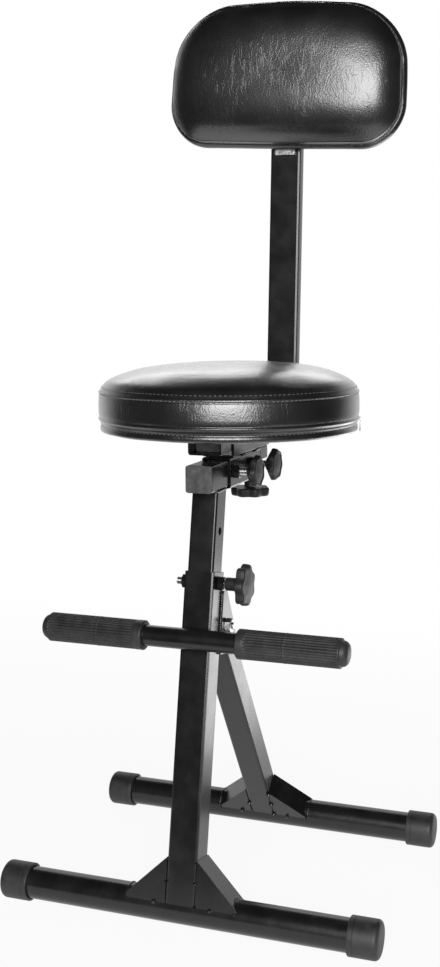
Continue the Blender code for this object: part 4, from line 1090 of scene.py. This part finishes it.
def crown_at(points):
    """The crown's height at points of the panel, from the four grid points around each."""
    u, v = (points[:, 0] - grid_x[0]) / GRID, (points[:, 1] - grid_y[0]) / GRID
    i, j = u.astype(int), v.astype(int)
    fu, fv = u - i, v - j
    level = (film[j, i] * (1 - fu) * (1 - fv) + film[j, i + 1] * fu * (1 - fv)
             + film[j + 1, i] * (1 - fu) * fv + film[j + 1, i + 1] * fu * fv)
    return PAD_CROWN * (1 - (1 - level) ** FLATTER) ** STEEPER


print(f"crown: {1000 * crown_at(np.zeros((1, 2)))[0]:.1f} mm in the middle")

# %% [markdown]
# Forty rings go from the middle of the crown out to the seam, closer together near it, where the
# panel is steep. The others go round the side band and in behind, to where the board holds them.

# %% Backrest cushion: rings
PANEL_RINGS = 40
pad_rows, pad_pins = [], []


def pad_row(share, inset, depth, pin):
    """One ring: the outline drawn in by an inset and scaled by a share, at a depth in front of the back."""
    ring = (rim - rim_normal * inset) * share
    pad_rows.append(np.column_stack([ring, np.broadcast_to(depth, len(ring))]))
    pad_pins.append(pin)


seam_line = rim - rim_normal * SEAM_INSET
for share in 1 - (1 - np.linspace(0.012, 0.995, PANEL_RINGS)) ** 1.35:
    pad_row(share, SEAM_INSET, SEAM_DEPTH + crown_at(seam_line * share), 0.0)
pad_row(1.0, SEAM_INSET, SEAM_DEPTH - 0.0010, 1.0)
for inset, depth, pin in (
    (0.0052, 0.0128, 1.0), (0.0034, 0.0122, 0.0), (0.0016, 0.0108, 0.0), (0.0005, 0.0088, 0.0),
    (0.0, 0.0066, 0.0), (0.0006, 0.0046, 0.0), (0.0026, 0.0024, 0.0), (0.0064, 0.0008, 0.3),
    (0.0105, 0.0002, 1.0), (0.0160, 0.0, 1.0), (0.0222, 0.0, 1.0), (0.0226, 0.0030, 1.0),
    (0.0226, 0.0088, 1.0),
):
    pad_row(1.0, inset, depth, pin)
pad_rows = np.array(pad_rows)
print("pad rings:", len(pad_rows))

# %% [markdown]
# The rings are laid out flat, and one matrix stands them up against the post, which leans back.
# The board behind the cushion takes the same skew as the cover.

# %% Backrest cushion: cover
PAD_TILT, PAD_YAW = math.radians(-2.35), math.radians(2.2)
PAD_SHIFT = 0.0040
POST_FOOT = (0, 0.1864, 0.6079)
PAD_BACK, PAD_UP = -0.0046, 0.5005
POST = Matrix.Translation(POST_FOOT) @ turn(-BACK_LEAN, "X")
UPRIGHT = turn(math.pi / 2, "X")
SQUARE = POST @ Matrix.Translation((0, PAD_BACK, PAD_UP)) @ UPRIGHT
PAD = (
    POST @ Matrix.Translation((PAD_SHIFT, PAD_BACK, PAD_UP)) @ turn(PAD_YAW, "Z")
    @ UPRIGHT @ turn(PAD_TILT, "Z")
)
bpy.data.objects["back_board_dressed"].data.transform(PAD @ SQUARE.inverted())
pad_rings = finer(swell("back_cushion", placed(PAD, pad_rows), pad_pins, most=0.0022))
pad_mesh = skin("back_cover", pad_rings, crease=80)
back_cover = piece("back_cover", pad_mesh, "backrest", "leatherette_embossed", "back_cushion")
print("back cover:", len(pad_mesh.vertices), "points")

# %% [markdown]
# The stool stands on a white sweep in a studio. A white that only the camera sees is not more light
# on the object, so floor and world are white to the camera and give a quiet fill besides. The
# floor is white in reflections too, and stays partly matt, which keeps a faint shadow. The world is
# white in reflections only low down behind the stool, where the sweep rises. The rest is a dark
# room, which is why the sides that face the camera are nearly black.

# %% Floor
FLOOR_X, FLOOR_FRONT, FLOOR_BACK = 1.15, -0.75, 2.6
floor_mesh = bpy.data.meshes.new("floor")
corners = [(x, y, 0) for x, y in (
    (-FLOOR_X, FLOOR_FRONT), (FLOOR_X, FLOOR_FRONT), (FLOOR_X, FLOOR_BACK), (-FLOOR_X, FLOOR_BACK)
)]
floor_mesh.from_pydata(corners, [], [(0, 1, 2, 3)])
floor = bpy.data.objects.new("floor", floor_mesh)
scene.collection.objects.link(floor)
paper = bpy.data.materials.new("paper_sweep_white")
paper.use_nodes = True
tree = paper.node_tree
tree.nodes.clear()
path = add(tree, "LightPath").outputs
matt = add(tree, "BsdfDiffuse", {"Color": linear("#e8e8e8")})
bright = add(tree, "Emission", {"Color": linear("#ffffff"), "Strength": 1.0})
seen = add(tree, "Math", {0: path["Is Camera Ray"], 1: path["Is Glossy Ray"]}, operation="MAXIMUM")
seen = add(tree, "Math", {0: seen, 1: path["Is Transmission Ray"]}, operation="MAXIMUM")
where = add(tree, "SeparateXYZ", {0: add(tree, "NewGeometry").outputs["Position"]})
fade = add(tree, "MapRange", {0: where.outputs["Y"], 1: 0.2, 2: 1.4, 3: 0.92, 4: 1.0})
share = add(tree, "Math", {0: seen, 1: fade}, operation="MULTIPLY")
mixed = add(tree, "MixShader", {0: share, 1: matt, 2: bright})
add(tree, "OutputMaterial", {"Surface": mixed})
floor_mesh.materials.append(paper)
print(f"floor: {2 * FLOOR_X:.2f} x {FLOOR_BACK - FLOOR_FRONT:.2f} m")

# %% World
AWAY = (-0.342, 0.940, 0.0)
ROOM = 0.03
world = bpy.data.worlds.new("studio")
scene.world = world
world.use_nodes = True
tree = world.node_tree
tree.nodes.clear()
path = add(tree, "LightPath").outputs
way = add(tree, "TexCoord").outputs["Generated"]
high_up = add(tree, "SeparateXYZ", {0: way}).outputs["Z"]
behind = add(tree, "VectorMath", {0: way, 1: AWAY}, operation="DOT_PRODUCT").outputs["Value"]
sweep_up = add(tree, "MapRange", {0: high_up, 1: 0.38, 2: 0.60, 3: 1.0, 4: ROOM})
sweep_back = add(tree, "MapRange", {0: behind, 1: 0.35, 2: 0.80, 3: ROOM, 4: 1.0})
sweep = add(tree, "Math", {0: sweep_up, 1: sweep_back}, operation="MULTIPLY")
fill = add(tree, "Math", {0: sweep, 1: 0.20, 2: 0.06}, operation="MULTIPLY_ADD")
glossy = add(tree, "Mix", {0: path["Is Glossy Ray"], 2: fill, 3: sweep})
level = add(tree, "Math", {0: glossy, 1: path["Is Camera Ray"]}, operation="MAXIMUM")
level = add(tree, "Math", {0: level, 1: path["Is Transmission Ray"]}, operation="MAXIMUM")
air = add(tree, "Background", {"Color": linear("#ffffff"), "Strength": level})
add(tree, "OutputWorld", {"Surface": air})
print("world:", len(tree.nodes), "nodes")

# %% [markdown]
# A large soft box stands in front of the stool, a little to the right. It makes the bright patch
# on the front of the seat and the one on the right of the backrest. A panel high behind the stool
# lights the top of the seat, and a white card on the floor, behind and to the right, is what
# the right-hand sides of the legs and the height knob reflect.

# %% Lamps
def soft_panel(name, place, aim, width, height, watts):
    lamp = bpy.data.lights.new(name, "AREA")
    lamp.shape = "RECTANGLE"
    lamp.size, lamp.size_y, lamp.energy = width, height, watts
    made = bpy.data.objects.new(name, lamp)
    scene.collection.objects.link(made)
    made.location = place
    made.rotation_euler = (Vector(aim) - Vector(place)).to_track_quat("-Z", "Y").to_euler()
    made.visible_camera = False
    print(f"{name}: {width} x {height} m, {watts} W")


soft_panel("front_soft_box", (0.90, -2.78, 1.43), (0.0, 0.0, 0.85), 2.1, 1.85, 122)
soft_panel("back_panel", (-0.85, 2.30, 2.12), (0.0, 0.0, 0.70), 2.2, 1.05, 14)
soft_panel("floor_card", (0.62, 1.02, 0.004), (0.62, 1.02, 1.0), 0.80, 1.30, 9.5)

# %% [markdown]
# The cloth may stand a little proud of the imported model. Colours are shown as they are
# written, so the view transform is the plain one.

# %% View
scene.view_settings.view_transform = "Standard"
